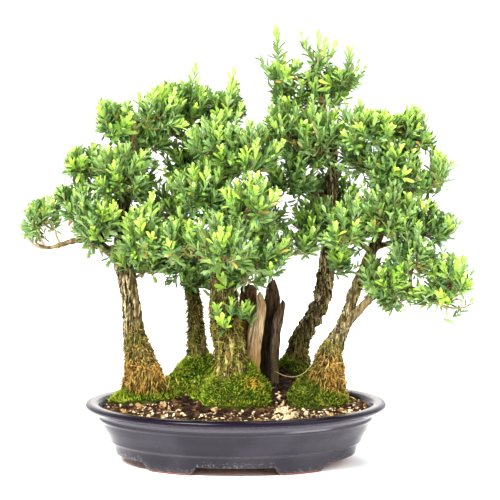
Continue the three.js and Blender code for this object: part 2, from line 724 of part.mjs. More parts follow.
// Leaves stand out of the faces of the core, leaning up and aside, where no piece is
function growSpray(spray, blocked) {
  const { random } = spray;
  const { points, faces } = spray.core;
  const leaves = [];
  const solids = [];
  const wanted = Math.round((spray.size[0] + spray.size[2]) / 2 / SPRAY_SIZE_PER_LEAF);
  const order = faces.map((face) => ({ face, draw: random() })).sort((a, b) => a.draw - b.draw);
  for (const { face } of order) {
    const corners = face.map((i) => points[i]);
    const out = new THREE.Triangle(...corners).getNormal(new THREE.Vector3());
    const middle = new THREE.Triangle(...corners).getMidpoint(new THREE.Vector3());
    for (let attempt = 0; attempt < LEAF_ATTEMPTS && leaves.length < wanted; attempt += 1) {
      const lean = new THREE.Vector3(random() - 0.5, random() - 0.5, random() - 0.2);
      const along = out.clone().addScaledVector(lean, LEAF_LEAN).normalize();
      const turn = new THREE.Vector3(random() - 0.5, random() - 0.5, random() - 0.5);
      const across = turn.cross(along).normalize();
      if (along.dot(out) < LEAST_RISE) continue;
      const beyondRoot = middle.clone().addScaledVector(along, LEAF_CLEAR_START);
      if (meets(leafSolid(leafPoints(beyondRoot, along, across)), [spray.coreRoom])) continue;
      const room = leafSolid(leafPoints(middle, along, across, GAP));
      if (meets(room, blocked) || meets(room, solids)) continue;
      const leaf = leafPoints(middle, along, across);
      leaf.root = seated(leaf.root, along, middle, out);
      const ring = rootRing(corners, leaf.root, out);
      if (!ring) continue;
      leaves.push({ face, ring, ...leaf });
      solids.push(boxed(room));
      break;
    }
  }
  const bare = faces.filter((face) => leaves.every((leaf) => leaf.face !== face));
  const allPoints = [...points];
  const indices = bare.flat();
  for (const leaf of leaves) {
    const first = allPoints.length;
    allPoints.push(...leaf.root, ...leaf.wide, ...leaf.tip);
    const ring = leaf.ring.flat().map((i) => (i < 3 ? leaf.face[i] : first + i - 3));
    indices.push(...ring, ...leafFaces(first));
  }
  return { solid: solidOf(meshOf(allPoints, indices)), leaves: solids };
}

const bonsai = new THREE.Group();

function addPiece(name, solid, material) {
  const mesh = new THREE.Mesh(geometryOf(solid), new THREE.MeshStandardMaterial(MATERIALS[material]));
  mesh.name = name;
  bonsai.add(mesh);
}

// Wood first, because soil, moss and sprays all leave room for it
const wood = TREES.map((tree) => makeWood(tree, 0));
const woodRoom = TREES.map((tree) => makeWood(tree, GAP));
const slabs = Object.entries(STUMP_SLABS).map(([name, sections], i) => {
  const seed = SLAB_SEED + i;
  return { name, solid: makeSlab(sections, seed), room: makeSlab(sections, seed, GAP) };
});
const standing = joined([...woodRoom, ...slabs.map((slab) => slab.room)]);

const groundRandom = randomFrom(GROUND_SEED);
const soilBody = makeSoilBody();
const grains = [
  ...makeGrains(CHIP_COUNT, CHIP_SIZE, 0.4, groundRandom),
  ...makeGrains(PERLITE_COUNT, PERLITE_SIZE, 0.8, groundRandom),
];
let soil = joined([soilBody, ...grains]).subtract(standing);
for (const x of [-DRAIN_HOLE_X, DRAIN_HOLE_X]) soil = soil.subtract(makeScreenPocket(x));

addPiece('pot', makePot(), 'glaze');
addPiece('drain_screen_left', makeScreen(-DRAIN_HOLE_X), 'plastic');
addPiece('drain_screen_right', makeScreen(DRAIN_HOLE_X), 'plastic');
addPiece('soil', soil, 'soil');

const soilRoom = soilBody.translate([0, 0, GAP]);
for (const [name, patches] of Object.entries(MOSS_PATCHES)) {
  const cushion = joined(patches.map((patch) => makeMossPatch(patch, groundRandom)));
  addPiece(name, cushion.subtract(soilRoom).subtract(standing), 'moss');
}

TREES.forEach((tree, i) => addPiece(`wood_${tree.name}`, wood[i], 'bark'));
slabs.forEach((slab) => addPiece(slab.name, slab.solid, 'deadwood'));

// Foliage: every core stands first, then leaves grow where no other piece is
const sprays = TREES.flatMap((tree) => tree.sprays.map((spray, i) => {
  const random = randomFrom(tree.seed * SPRAY_SEED_FACTOR + i);
  return { ...spray, name: `foliage_${tree.name}_${spray.name}`, random };
}));
for (const spray of sprays) {
  spray.core = makeCore(spray, sprays, spray.random);
  spray.coreRoom = boxed(solidOf(meshOf(spray.core.points, spray.core.faces.flat())));
}
const woodParts = woodRoom.map(boxed);
const grown = [];
for (const spray of sprays) {
  const cores = sprays.filter((other) => other !== spray).map((other) => other.coreRoom);
  const { solid, leaves } = growSpray(spray, [...cores, ...grown, ...woodParts]);
  grown.push(...leaves);
  addPiece(spray.name, solid.subtract(standing), 'leaf');
}

bonsai.position.set(-POT_ASIDE, -POT_FORWARD, 0);

export default bonsai;
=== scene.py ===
from itertools import combinations
from math import pi, radians

import bpy
import numpy as np
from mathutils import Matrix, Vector


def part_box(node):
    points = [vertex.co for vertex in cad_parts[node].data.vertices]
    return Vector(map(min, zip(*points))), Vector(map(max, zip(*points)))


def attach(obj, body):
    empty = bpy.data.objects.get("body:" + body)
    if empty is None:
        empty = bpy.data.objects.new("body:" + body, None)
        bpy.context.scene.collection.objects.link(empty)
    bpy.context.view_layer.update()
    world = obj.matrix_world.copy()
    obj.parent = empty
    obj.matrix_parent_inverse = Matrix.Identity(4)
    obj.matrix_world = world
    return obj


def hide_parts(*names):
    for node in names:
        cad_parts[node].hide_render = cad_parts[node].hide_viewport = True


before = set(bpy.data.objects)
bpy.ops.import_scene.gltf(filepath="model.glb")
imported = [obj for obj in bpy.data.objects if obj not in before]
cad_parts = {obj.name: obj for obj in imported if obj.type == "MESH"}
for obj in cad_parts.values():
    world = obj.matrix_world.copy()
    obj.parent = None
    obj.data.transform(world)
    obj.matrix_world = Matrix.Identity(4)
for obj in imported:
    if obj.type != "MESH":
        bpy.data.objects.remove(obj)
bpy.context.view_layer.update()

# The view. The camera stands two metres in front of the pot and as high as the crown, a
# little right of the pot's middle, and looks down by some five degrees.
MM = 0.001
pot_low, pot_high = (np.array(corner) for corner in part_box("pot"))
pot_middle = np.array([(pot_low[0] + pot_high[0]) / 2, (pot_low[1] + pot_high[1]) / 2, 0])
CAMERA_FROM_POT = np.array([17, -2000, 443]) * MM
CAMERA_DROP = 5.43
CAMERA_LENS = 121.9
camera = bpy.data.objects.new("camera", bpy.data.cameras.new("camera"))
camera.data.lens = CAMERA_LENS
camera.location = pot_middle + CAMERA_FROM_POT
camera.rotation_euler = (radians(90 - CAMERA_DROP), 0, 0)
bpy.context.scene.collection.objects.link(camera)
bpy.context.scene.camera = camera
bpy.context.scene.view_settings.view_transform = "Standard"
bpy.context.scene.view_settings.look = "Medium High Contrast"


# The studio. A white paper sweep lies under the pot and curves up behind it, and large soft
# lamps stand to its left, right and above.
class Shade:
    """A shader value: one output socket of a material, whose sums and products add Math nodes."""

    def __init__(self, tree, socket=None):
        self.tree = tree
        self.socket = socket

    def node(self, kind, settings=None, inputs=None, output=0):
        """New node of a kind, with its settings made first and then its sockets set or linked."""
        made = self.tree.nodes.new("ShaderNode" + kind)
        for name, setting in (settings or {}).items():
            if name == "stops":
                ramp = made.color_ramp.elements
                while len(ramp) < len(setting):
                    ramp.new(0.5)
                for stop, (place, colour) in zip(ramp, setting):
                    stop.position = place
                    stop.color = (*colour, 1)
            else:
                setattr(made, name, setting)
        for name, value in (inputs or {}).items():
            if isinstance(value, Shade):
                self.tree.links.new(value.socket, made.inputs[name])
            else:
                made.inputs[name].default_value = value
        return Shade(self.tree, made.outputs[output] if made.outputs else None)

    def maths(self, operation, first, second=0.0):
        return self.node("Math", {"operation": operation}, {0: first, 1: second})

    def __add__(self, other):
        return self.maths("ADD", self, other)

    __radd__ = __add__

    def __sub__(self, other):
        return self.maths("SUBTRACT", self, other)

    def __rsub__(self, other):
        return self.maths("SUBTRACT", other, self)

    def __mul__(self, other):
        return self.maths("MULTIPLY", self, other)

    __rmul__ = __mul__

    def __truediv__(self, other):
        return self.maths("DIVIDE", self, other)

    def __gt__(self, other):
        return self.maths("GREATER_THAN", self, other)

    def step(self, low, high):
        """0 where the value is at low, 1 where it is at high, and a soft change between them."""
        return self.node("MapRange", {"interpolation_type": "SMOOTHSTEP"}, {0: self, 1: low, 2: high})

    def mix(self, first, second):
        """Colour first where the value is 0, and second where it is 1."""
        colours = [c if isinstance(c, Shade) else (*c, 1) for c in (first, second)]
        return self.node("Mix", {"data_type": "RGBA"}, {0: self, 6: colours[0], 7: colours[1]}, 2)

    def ramp(self, stops):
        """Colour that runs through stops, each a value and the colour there."""
        return self.node("ValToRGB", {"stops": stops}, {"Fac": self})

    def read(self, name):
        """Value of one of the mesh's own attributes."""
        return self.node("Attribute", {"attribute_name": name}, output="Fac")

    def place(self, stretch=(1, 1, 1)):
        """Object coordinates in metres, stretched along each axis."""
        where = self.node("TexCoord", output="Object")
        return self.node("Mapping", inputs={"Vector": where, "Scale": stretch})

    def noise(self, scale, detail=3.0, stretch=(1, 1, 1), rough=0.5):
        settings = {"Vector": self.place(stretch), "Scale": scale, "Detail": detail, "Roughness": rough}
        return self.node("TexNoise", inputs=settings)

    def height(self):
        return self.node("SeparateXYZ", inputs={0: self.node("TexCoord", output="Object")}, output=2)

    def bump(self, height, distance, strength=1.0):
        settings = {"Strength": strength, "Distance": distance, "Height": height}
        return self.node("Bump", inputs=settings)


def finish(name):
    """New node material, as a start for its shader maths."""
    material = bpy.data.materials.new(name)
    material.use_nodes = True
    material.node_tree.nodes.clear()
    return material, Shade(material.node_tree)


def surface(shade, **sockets):
    """Ends a material in one Principled shader. Socket names are written with _ for a space."""
    inputs = {name.replace("_", " "): value for name, value in sockets.items()}
    shader = shade.node("BsdfPrincipled", inputs=inputs)
    shade.node("OutputMaterial", inputs={"Surface": shader})


def mesh_object(name, points, faces, material, smooth=True, loop_uv=None, **attributes):
    """New object at the origin from points and a list of face arrays of three or four corners,
    with a value for each point in every attribute."""
    mesh = bpy.data.meshes.new(name)
    corners = np.concatenate([group.ravel() for group in faces]).astype(np.int32)
    sizes = np.concatenate([np.full(len(group), group.shape[1]) for group in faces])
    mesh.vertices.add(len(points))
    mesh.loops.add(len(corners))
    mesh.polygons.add(len(sizes))
    mesh.vertices.foreach_set("co", np.ascontiguousarray(points, np.float32).ravel())
    mesh.loops.foreach_set("vertex_index", corners)
    mesh.polygons.foreach_set("loop_start", (np.cumsum(sizes) - sizes).astype(np.int32))
    mesh.polygons.foreach_set("use_smooth", np.full(len(sizes), smooth))
    for key, values in attributes.items():
        attribute = mesh.attributes.new(key, "FLOAT", "POINT")
        attribute.data.foreach_set("value", np.ascontiguousarray(values, np.float32).ravel())
    if loop_uv is not None:
        mesh.uv_layers.new(name="OFBake").uv.foreach_set("vector", loop_uv.astype(np.float32).ravel())
    mesh.update(calc_edges=True)
    mesh.materials.append(material)
    made = bpy.data.objects.new(name, mesh)
    bpy.context.scene.collection.objects.link(made)
    return made


SWEEP_HALF_WIDTH = 6.0
SWEEP_FRONT = -5.0
SWEEP_BACK = 2.4
SWEEP_BEND = 1.6
SWEEP_TOP = 5.0
bend = np.linspace(0, pi / 2, 24)
sweep_y = np.concatenate([[SWEEP_FRONT], SWEEP_BACK + SWEEP_BEND * np.sin(bend), [SWEEP_BACK + SWEEP_BEND]])
sweep_z = np.concatenate([[0], SWEEP_BEND * (1 - np.cos(bend)), [SWEEP_TOP]])
sweep_x = np.repeat([-SWEEP_HALF_WIDTH, SWEEP_HALF_WIDTH], len(sweep_y))
sweep_points = np.column_stack([sweep_x, np.tile(sweep_y, 2), np.tile(sweep_z, 2)])
row = np.arange(len(sweep_y) - 1)
sweep_faces = np.stack([row, row + len(sweep_y), row + len(sweep_y) + 1, row + 1], axis=1)
paper, shade = finish("white_paper")
paper_grain = shade.noise(900, 2)
surface(shade, Base_Color=(paper_grain * 0.03).mix((0.93, 0.93, 0.93), (0.88, 0.88, 0.88)), Roughness=0.9)
sweep = mesh_object("paper_sweep", sweep_points, [sweep_faces], paper)

SKY_STRENGTH = 0.85
world = bpy.data.worlds.new("studio")
world.use_nodes = True
world.node_tree.nodes["Background"].inputs["Color"].default_value = (1, 1, 1, 1)
world.node_tree.nodes["Background"].inputs["Strength"].default_value = SKY_STRENGTH
bpy.context.scene.world = world

LAMPS = {
    "key": {"at": (-1.0, -1.7, 1.9), "watts": 125, "size": 0.9},
    "fill": {"at": (1.7, -1.3, 1.1), "watts": 30, "size": 1.3},
    "top": {"at": (0.3, 0.7, 1.9), "watts": 52, "size": 1.2},
}
LAMP_AIM = Vector((0, 0, 0.26))
for name, lamp in LAMPS.items():
    light = bpy.data.lights.new(name, "AREA")
    light.energy = lamp["watts"]
    light.size = lamp["size"]
    holder = bpy.data.objects.new(name, light)
    holder.location = lamp["at"]
    holder.rotation_euler = (LAMP_AIM - holder.location).to_track_quat("-Z", "Y").to_euler()
    bpy.context.scene.collection.objects.link(holder)


# The pot. It is pressed stoneware with a flared rolled rim, a cove, a bead and a low ridge,
# dipped in dark blue-grey glaze over red-brown clay. On the long sides the roll of the lip is
# painted near black with little shine, a painted dark reflection. The glaze stayed thin in the
# cove and broke along the cut foot ring. The rim's inner edge is painted lighter: partly thin
# glaze there, partly a painted reflection.
POT_HALF_LENGTH = 180
POT_HALF_DEPTH = 135
DEEPEST_INSET = 55
FOOT_HEIGHT = 11
FOOT_NEAR_END = 44
FOOT_FAR_END = 109
FOOT_END_SLOPE = 13
INNER_WALL = [(162, 66), (158, 58), (150, 42), (139, 25), (132, 20), (124, 19)]
POT_PROFILE = [
    (1, 11.8), (60, 11.8), (124, 11.8), (128.4, 11.2), (129.2, 0), (138.6, 0), (143, 10), (144.4, 14),
    (146.4, 21), (148.6, 24.6), (151.4, 26.2), (152.2, 28.6), (154.4, 33.5), (159, 41), (161.6, 47),
    (162.6, 51), (164.9, 52.6), (164.9, 54.6), (163.6, 57), (165.2, 60.6), (170, 63.2), (177.6, 65.0),
    (180, 67), (179.9, 69.6), (177.8, 71.4), (174.6, 72), (168, 71.6), (164.2, 70.2), *INNER_WALL,
    (60, 19), (1, 19),
]


def oval(angle, reach):
    """Point at an angle on the oval ring of a half length, in mm: the rim's ellipse drawn in
    along its own normal by one inset all round, and shrunk evenly where that inset is deepest."""
    inset = np.minimum(POT_HALF_LENGTH - reach, DEEPEST_INSET)
    normal = np.stack([POT_HALF_DEPTH * np.cos(angle), POT_HALF_LENGTH * np.sin(angle)], axis=-1)
    normal /= np.linalg.norm(normal, axis=-1, keepdims=True)
    point = np.stack([POT_HALF_LENGTH * np.cos(angle), POT_HALF_DEPTH * np.sin(angle)], axis=-1)
    shrink = np.minimum(1, reach / (POT_HALF_LENGTH - DEEPEST_INSET))
    return (point - normal * np.asarray(inset)[..., None]) * np.asarray(shrink)[..., None]


def rounded(line, times):
    """Line of points with its corners cut: each stretch gives points at its first and third
    quarter, and the ends stay."""
    line = np.array(line, float)
    for _ in range(times):
        first = 0.75 * line[:-1] + 0.25 * line[1:]
        second = 0.25 * line[:-1] + 0.75 * line[1:]
        cut = np.stack([first, second], axis=1).reshape(-1, line.shape[1])
        line = np.concatenate([line[:1], cut, line[-1:]])
    return line


def copied(faces, count, size):
    """Face arrays of count copies of a shape with size points, one copy after another."""
    starts = np.arange(count)[:, None, None] * size
    return [(group + starts).reshape(-1, group.shape[1]) for group in faces]


def lofts(grids):
    """Closed bodies from grids of rings (bodies, rings, sides, 3): quads from ring to ring, and a
    fan from the middle of the first and of the last ring."""
    count, rings, sides = grids.shape[:3]
    ends = grids[:, [0, -1]].mean(axis=2)
    points = np.concatenate([grids.reshape(count, rings * sides, 3), ends], axis=1)
    side, turned = np.arange(sides), np.roll(np.arange(sides), -1)
    here = (np.arange(rings - 1)[:, None] * sides + side).ravel()
    after = (np.arange(rings - 1)[:, None] * sides + turned).ravel()
    quads = np.stack([here, after, after + sides, here + sides], axis=1)
    low = np.stack([np.full(sides, rings * sides), turned, side], axis=1)
    top = (rings - 1) * sides
    high = np.stack([np.full(sides, rings * sides + 1), top + side, top + turned], axis=1)
    return points.reshape(-1, 3), copied([quads, np.concatenate([low, high])], count, points.shape[1])


def lofted(name, bodies, material):
    """New piece of one or more grids of lofts in mm from the pot's middle, each given with its
    values by name: an array that fits the grid, or one number. Where a fan closes an end, its
    middle has the ring's mean value."""
    points, quads, tris, start = [], [], [], 0
    values = {key: [] for key in bodies[0][1]}
    for grids, given in bodies:
        part, (part_quads, part_tris) = lofts(grids)
        points.append(part)
        quads.append(part_quads + start)
        tris.append(part_tris + start)
        start += len(part)
        for key, value in given.items():
            value = np.broadcast_to(value, grids.shape[:3])
            ends = value[:, [0, -1]].mean(axis=2)
            values[key].append(np.concatenate([value.reshape(len(value), -1), ends], axis=1).ravel())
    values = {key: np.concatenate(found) for key, found in values.items()}
    faces = [np.concatenate(quads), np.concatenate(tris)]
    return mesh_object(name, np.concatenate(points) * MM + pot_middle, faces, material, **values)


def foot_edge(x):
    """Height of the foot ring's lower edge: 0 at a foot, and up a bracket curve to the full
    height between feet."""
    inward = np.clip((np.abs(x) - FOOT_NEAR_END) / FOOT_END_SLOPE, 0, 1)
    outward = np.clip((FOOT_FAR_END - np.abs(x)) / FOOT_END_SLOPE, 0, 1)
    return FOOT_HEIGHT * (1 - np.minimum(inward, outward)) ** 2.3


POT_SIDES = 288
EVEN_ANGLES = 4000
FOOT_RING_REACH = 139
FOOT_END_CROWDING = 2.5
FOOT_END_WIDTH = 9
profile = rounded(POT_PROFILE, 1)
even = np.linspace(0, 2 * pi, EVEN_ANGLES)
foot_ends = (FOOT_NEAR_END + FOOT_END_SLOPE / 2, FOOT_FAR_END - FOOT_END_SLOPE / 2)
from_ends = [(np.abs(FOOT_RING_REACH * np.cos(even)) - end) / FOOT_END_WIDTH for end in foot_ends]
share = np.cumsum(1 + FOOT_END_CROWDING * sum(np.exp(-away**2) for away in from_ends))
share = (share - share[0]) / (share[-1] - share[0])
angles = np.interp(np.arange(POT_SIDES) / POT_SIDES, share, even)
flat = oval(angles[None, :], profile[:, :1])
edge = foot_edge(flat[..., 0])
lowest = profile[:, 1:] * np.ones_like(angles)
height = np.where(lowest < FOOT_HEIGHT, edge + (FOOT_HEIGHT - edge) * lowest / FOOT_HEIGHT, lowest)
pot_grid = np.concatenate([flat, height[..., None]], axis=-1)[None]

# On the pot's long sides the roll of the lip is painted near black and barely shines: a painted dark
# reflection, faded in by the sine of the angle.
LIP_PAINTED_DARK_FROM = 0.56
LIP_PAINTED_DARK_FADE = 0.2
POT_ZONES = {
    "bare": {"height": (-1, 12.5), "reach": (0, 138.8)},
    "lip": {"height": (65.5, 73), "reach": (172.5, 181)},
    "cove": {"height": (55, 65.2), "reach": (0, 178)},
    "thin_edge": {"height": (70.6, 73), "reach": (164, 173)},
}
zones = {}
reach = profile[:, :1] * np.ones_like(angles)
for name, zone in POT_ZONES.items():
    inside = (lowest > zone["height"][0]) & (lowest < zone["height"][1])
    inside &= (reach > zone["reach"][0]) & (reach < zone["reach"][1])
    zones[name] = np.where(inside, 1.0, 0.0)
zones["over_edge"] = np.where(zones["bare"] > 0, 0, height - edge)
zones["lip"] *= np.clip((np.abs(np.sin(angles)) - LIP_PAINTED_DARK_FROM) / LIP_PAINTED_DARK_FADE, 0, 1)

POT_GLAZE = (0.008, 0.005, 0.013)
POT_GLAZE_PALE = (0.024, 0.019, 0.030)
POT_GLAZE_BROWN = (0.014, 0.009, 0.009)
POT_EDGE_WHITE = (0.30, 0.29, 0.31)
POT_CLAY = (0.26, 0.105, 0.06)
POT_CLAY_PALE = (0.36, 0.17, 0.1)
POT_COVE = (0.085, 0.077, 0.094)
POT_THIN_EDGE_AND_REFLECTION = (0.16, 0.135, 0.125)
POT_LIP_PAINTED_DARK = (0.007, 0.004, 0.011)
glaze, shade = finish("pot_glaze")
clouds = shade.noise(16, 3)
streaks = shade.noise(30, 3, (1, 1, 5))
mottle = shade.noise(260, 4, rough=0.7)
speck = shade.noise(620, 2, rough=0.7)
colour = clouds.step(0.38, 0.66).mix(POT_GLAZE, POT_GLAZE_PALE)
colour = (streaks.step(0.5, 0.75) * 0.55).mix(colour, POT_GLAZE_BROWN)
colour = (mottle.step(0.52, 0.72) * 0.35).mix(colour, POT_GLAZE_PALE)
low_edge = shade.read("over_edge") / 12
broken = (1 - low_edge.step(0.05, 0.9)) * (mottle * 0.7 + speck * 0.5).step(0.62, 0.76)
colour = (broken * 0.6).mix(colour, POT_EDGE_WHITE)
sole = 1 - (shade.height() + (mottle - 0.5) * 0.006).step(0.0015, 0.0035)
clay = (shade.read("bare") + sole + (mottle - 0.5) * 0.7).step(0.35, 0.6)
fired = (shade.noise(420, 2) * 0.8).mix(POT_CLAY, POT_CLAY_PALE)
colour = clay.mix(colour, fired)
colour = (shade.read("cove") * 0.85).mix(colour, POT_COVE)
# The rim top's inner edge is painted lighter and warmer: partly thin glaze, partly a painted reflection.
colour = (shade.read("thin_edge") * (0.5 + mottle)).mix(colour, POT_THIN_EDGE_AND_REFLECTION)
rough = 0.08 + mottle * 0.08 + broken * 0.35 + clay * 0.6
throwing = shade.noise(70, 2, (0.12, 0.12, 4))
relief = shade.bump(clouds * 0.8 + throwing * 0.25 + mottle * 0.12 + broken * 0.5, 0.0012, 0.7)
body = shade.node("BsdfPrincipled", inputs={
    "Base Color": colour, "Roughness": rough, "Normal": relief, "IOR": 1.48,
})
# The roll's shader: near-black glaze with little shine, a painted dark reflection mixed in by the lip mask.
roll = shade.node("BsdfPrincipled", inputs={
    "Base Color": (*POT_LIP_PAINTED_DARK, 1), "Roughness": 0.2, "Specular IOR Level": 0.16,
})
blended = shade.node("MixShader", inputs={0: shade.read("lip"), 1: body, 2: roll})
shade.node("OutputMaterial", inputs={"Surface": blended})
pot = lofted("oval_pot", [(pot_grid, zones)], glaze)
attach(pot, "root")
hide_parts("pot")


# The drain screens. Each is a moulded square of black plastic mesh on the pot's floor, over a
# drain hole, and it keeps its shape from the frame.
plastic, shade = finish("drain_plastic")
scuffs = shade.noise(500, 3)
colour = scuffs.mix((0.012, 0.013, 0.016), (0.035, 0.036, 0.04))
surface(shade, Base_Color=colour, Roughness=0.4 + scuffs * 0.25)
for screen in ("drain_screen_left", "drain_screen_right"):
    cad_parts[screen].data.materials.clear()
    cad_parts[screen].data.materials.append(plastic)


# The soil. A mix of crumbled bark and earth fills the pot to just under its rim, and rises in
# a mound of roots under each tree. It was pressed in by hand, and its surface is crumbly.
SOIL_HEIGHT = 64
SOIL_EDGE_POWER = 8
SOIL_REACH = 159.4
SOIL_SIDES = 240
SOIL_RINGS = 72
SOIL_UNDERSIDE = np.array([(1, 22.5), (60, 22.5), (126, 22.5), (140, 27), (149, 42)])
SOIL_MOUNDS = [
    {"at": (-110, 25), "rise": 14, "reach": 62},
    {"at": (-46, 65), "rise": 22, "reach": 66},
    {"at": (-2, -5), "rise": 14, "reach": 60},
    {"at": (73, 70), "rise": 26, "reach": 68},
    {"at": (111, 12), "rise": 8, "reach": 55},
    {"at": (32, 35), "rise": 24, "reach": 60},
]


def ground(x, y):
    """Height of the soil in mm: level at the wall, plus a smooth mound under each tree."""
    inset = POT_HALF_LENGTH - SOIL_REACH
    outward = np.hypot(x / SOIL_REACH, y / (POT_HALF_DEPTH - inset))
    rise = 0
    for mound in SOIL_MOUNDS:
        away = np.hypot(x - mound["at"][0], y - mound["at"][1]) / mound["reach"]
        rise = rise + mound["rise"] * np.clip(1 - away**2, 0, 1) ** 1.5
    return SOIL_HEIGHT + rise * np.clip(1 - outward**SOIL_EDGE_POWER, 0, 1)


def ripples(points, length, seed, waves=20):
    """Smooth random field of about -1 to 1: sine waves of random directions, with wavelengths
    near the given length, added up."""
    random = np.random.default_rng(seed)
    turns = random.normal(size=(waves, 3))
    turns /= np.linalg.norm(turns, axis=1, keepdims=True) * length * random.uniform(0.7, 1.5, (waves, 1))
    starts = random.uniform(0, 2 * pi, waves)
    total = np.zeros(points.shape[:-1])
    for turn, start in zip(turns, starts):
        total += np.sin(2 * pi * points @ turn + start)
    return total / waves**0.5


soil_angles = np.linspace(0, 2 * pi, SOIL_SIDES, endpoint=False)
soil_top_rings = np.linspace(SOIL_REACH - 0.4, 1, SOIL_RINGS)
soil_reach = np.concatenate([SOIL_UNDERSIDE[:, 0], [SOIL_REACH], soil_top_rings])
soil_flat = oval(soil_angles[None, :], soil_reach[:, None])
soil_level = ground(soil_flat[..., 0], soil_flat[..., 1])
soil_level[: len(SOIL_UNDERSIDE)] = SOIL_UNDERSIDE[:, 1:]
soil_grid = np.concatenate([soil_flat, soil_level[..., None]], axis=-1)
crumbs = ripples(soil_grid, 9, 1) * 0.7 + ripples(soil_grid, 4.5, 2) * 0.6
soil_grid[-SOIL_RINGS:, :, 2] += crumbs[-SOIL_RINGS:] - 0.6
earth, shade = finish("soil")
grain = shade.noise(420, 4, rough=0.7)
colour = grain.step(0.4, 0.65).mix((0.012, 0.007, 0.003), (0.085, 0.050, 0.022))
surface(shade, Base_Color=colour, Roughness=0.95, Specular_IOR_Level=0.15, Normal=shade.bump(grain, 0.003))
soil = lofted("soil_crumbs", [(soil_grid[None], {})], earth)
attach(soil, "root")
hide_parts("soil")


# The moss. Cushions of short bright moss lie over the roots, thickest in their middles and a
# little way up each trunk. Each is a lumpy body with a pile of fine shoots standing out of it.
MOSS_EDGE = 3
MOSS_PATCHES = {
    "moss_front_left": [
        {"at": (-112, 22), "half": (42, 38), "thick": 8},
        {"at": (-76, 46), "half": (36, 32), "thick": 8},
        {"at": (-46, 62), "half": (42, 34), "thick": 13},
        {"at": (-26, 28), "half": (34, 34), "thick": 9},
        {"at": (0, -5), "half": (43, 43), "thick": 14},
    ],
    "moss_back_right": [{"at": (75, 70), "half": (31, 25), "thick": 9}],
    "moss_right": [{"at": (99, 4), "half": (36, 34), "thick": 12}],
}
TRUNK_FEET = [(-110, 25, 19, 1), (-46, 65, 15, 16), (-2, -5, 20, 13), (73, 70, 15, 6), (105, 14, 16, 9)]
SKIRT_WIDTH = 13
MOSS_SIDES = 88
MOSS_RINGS = 26
MOSS_MIDDLE = 0.02
MOSS_SUNK = 8
COVER_SHARE = 0.97
PILE_BURIED = 2.5
SLOPE_STEP = 0.02
MOSS_SHOOTS_PER_SQUARE = 0.66
MOSS_SHOOT_LENGTH = 5.0
MOSS_SHOOT_WIDTH = 1.3


def moss_outline(angle, seed):
    """Uneven outline of a cushion, as a share of its half sizes."""
    return 1 + 0.05 * np.sin(3 * angle + seed) + 0.035 * np.sin(7 * angle + 2.3 * seed) - 0.03


def moss_lumps(flat):
    """Height of the moss's clumps over its smooth dome, by place."""
    return 1.9 * ripples(flat, 19, 31) + 1.5 * ripples(flat, 8, 32)


def moss_thick(patch, x, y, share):
    """Depth of moss at a place: a dome with lumps, and a skirt that climbs each trunk's foot."""
    skirt = 0
    for trunk_x, trunk_y, radius, height in TRUNK_FEET:
        away = np.maximum(np.hypot(x - trunk_x, y - trunk_y) - radius, 0)
        skirt = skirt + height * np.exp(-((away / SKIRT_WIDTH) ** 2))
    lumps = moss_lumps(np.stack([x, y, np.zeros_like(x)], axis=-1))
    inward = np.clip(4 * (1 - share), 0, 1)
    return MOSS_EDGE + patch["thick"] * (1 - share**2) + (lumps + skirt) * inward


def moss_at(patch, share, angle, seed):
    """Surface point of a cushion, at a share of the way to its outline."""
    outline = moss_outline(angle, seed)
    x = patch["at"][0] + patch["half"][0] * share * outline * np.cos(angle)
    y = patch["at"][1] + patch["half"][1] * share * outline * np.sin(angle)
    return np.stack([x, y, ground(x, y) + moss_thick(patch, x, y, share)], axis=-1)


def share_of(patch, x, y, margin=0):
    """How far out a place lies on a cushion that is wider by a margin: 0 at its middle and 1 on
    the ellipse of its half sizes."""
    half_x, half_y = patch["half"][0] + margin, patch["half"][1] + margin
    return np.hypot((x - patch["at"][0]) / half_x, (y - patch["at"][1]) / half_y)


def moss_over(patch, x, y):
    """Height of a cushion's surface at a place, and True where the place lies on the cushion."""
    share = share_of(patch, x, y)
    return ground(x, y) + moss_thick(patch, x, y, np.minimum(share, 1)), share < COVER_SHARE


def moss_level(x, y):
    """Height of the moss at a place, or of the soil where there is none."""
    level = ground(x, y)
    for patch in sum(MOSS_PATCHES.values(), []):
        above, covered = moss_over(patch, x, y)
        level = np.where(covered, np.maximum(level, above), level)
    return level


def strewn(shape, faces, axes, places):
    """Copies of a shape: each copy's points are the shape's points along its own three axes."""
    points = np.einsum("pk,nkj->npj", shape, axes) + places[:, None]
    return points.reshape(-1, 3), copied(faces, len(places), len(shape))


def unit(vectors):
    """Vectors divided by their own length."""
    return vectors / np.maximum(np.linalg.norm(vectors, axis=-1, keepdims=True), 1e-9)


BLADE = np.array([(-0.5, -0.29, -0.1), (0.5, -0.29, -0.1), (0, 0.58, -0.1), (0, 0, 1)])
BLADE_FACES = [np.array([(0, 2, 1), (0, 1, 3), (1, 2, 3), (2, 0, 3)])]


def blades(places, along, length, width, random):
    """Slim three-sided points that stand at places, each along its own direction."""
    side = unit(np.cross(along, random.normal(size=along.shape)))
    width = width[:, None]
    axes = np.stack([side * width, np.cross(along, side) * width, along * length[:, None]], axis=1)
    return strewn(BLADE, BLADE_FACES, axes, places)


MOSS_GOLD_AT = (17, -20, 95)
MOSS_GOLD_REACH = 9
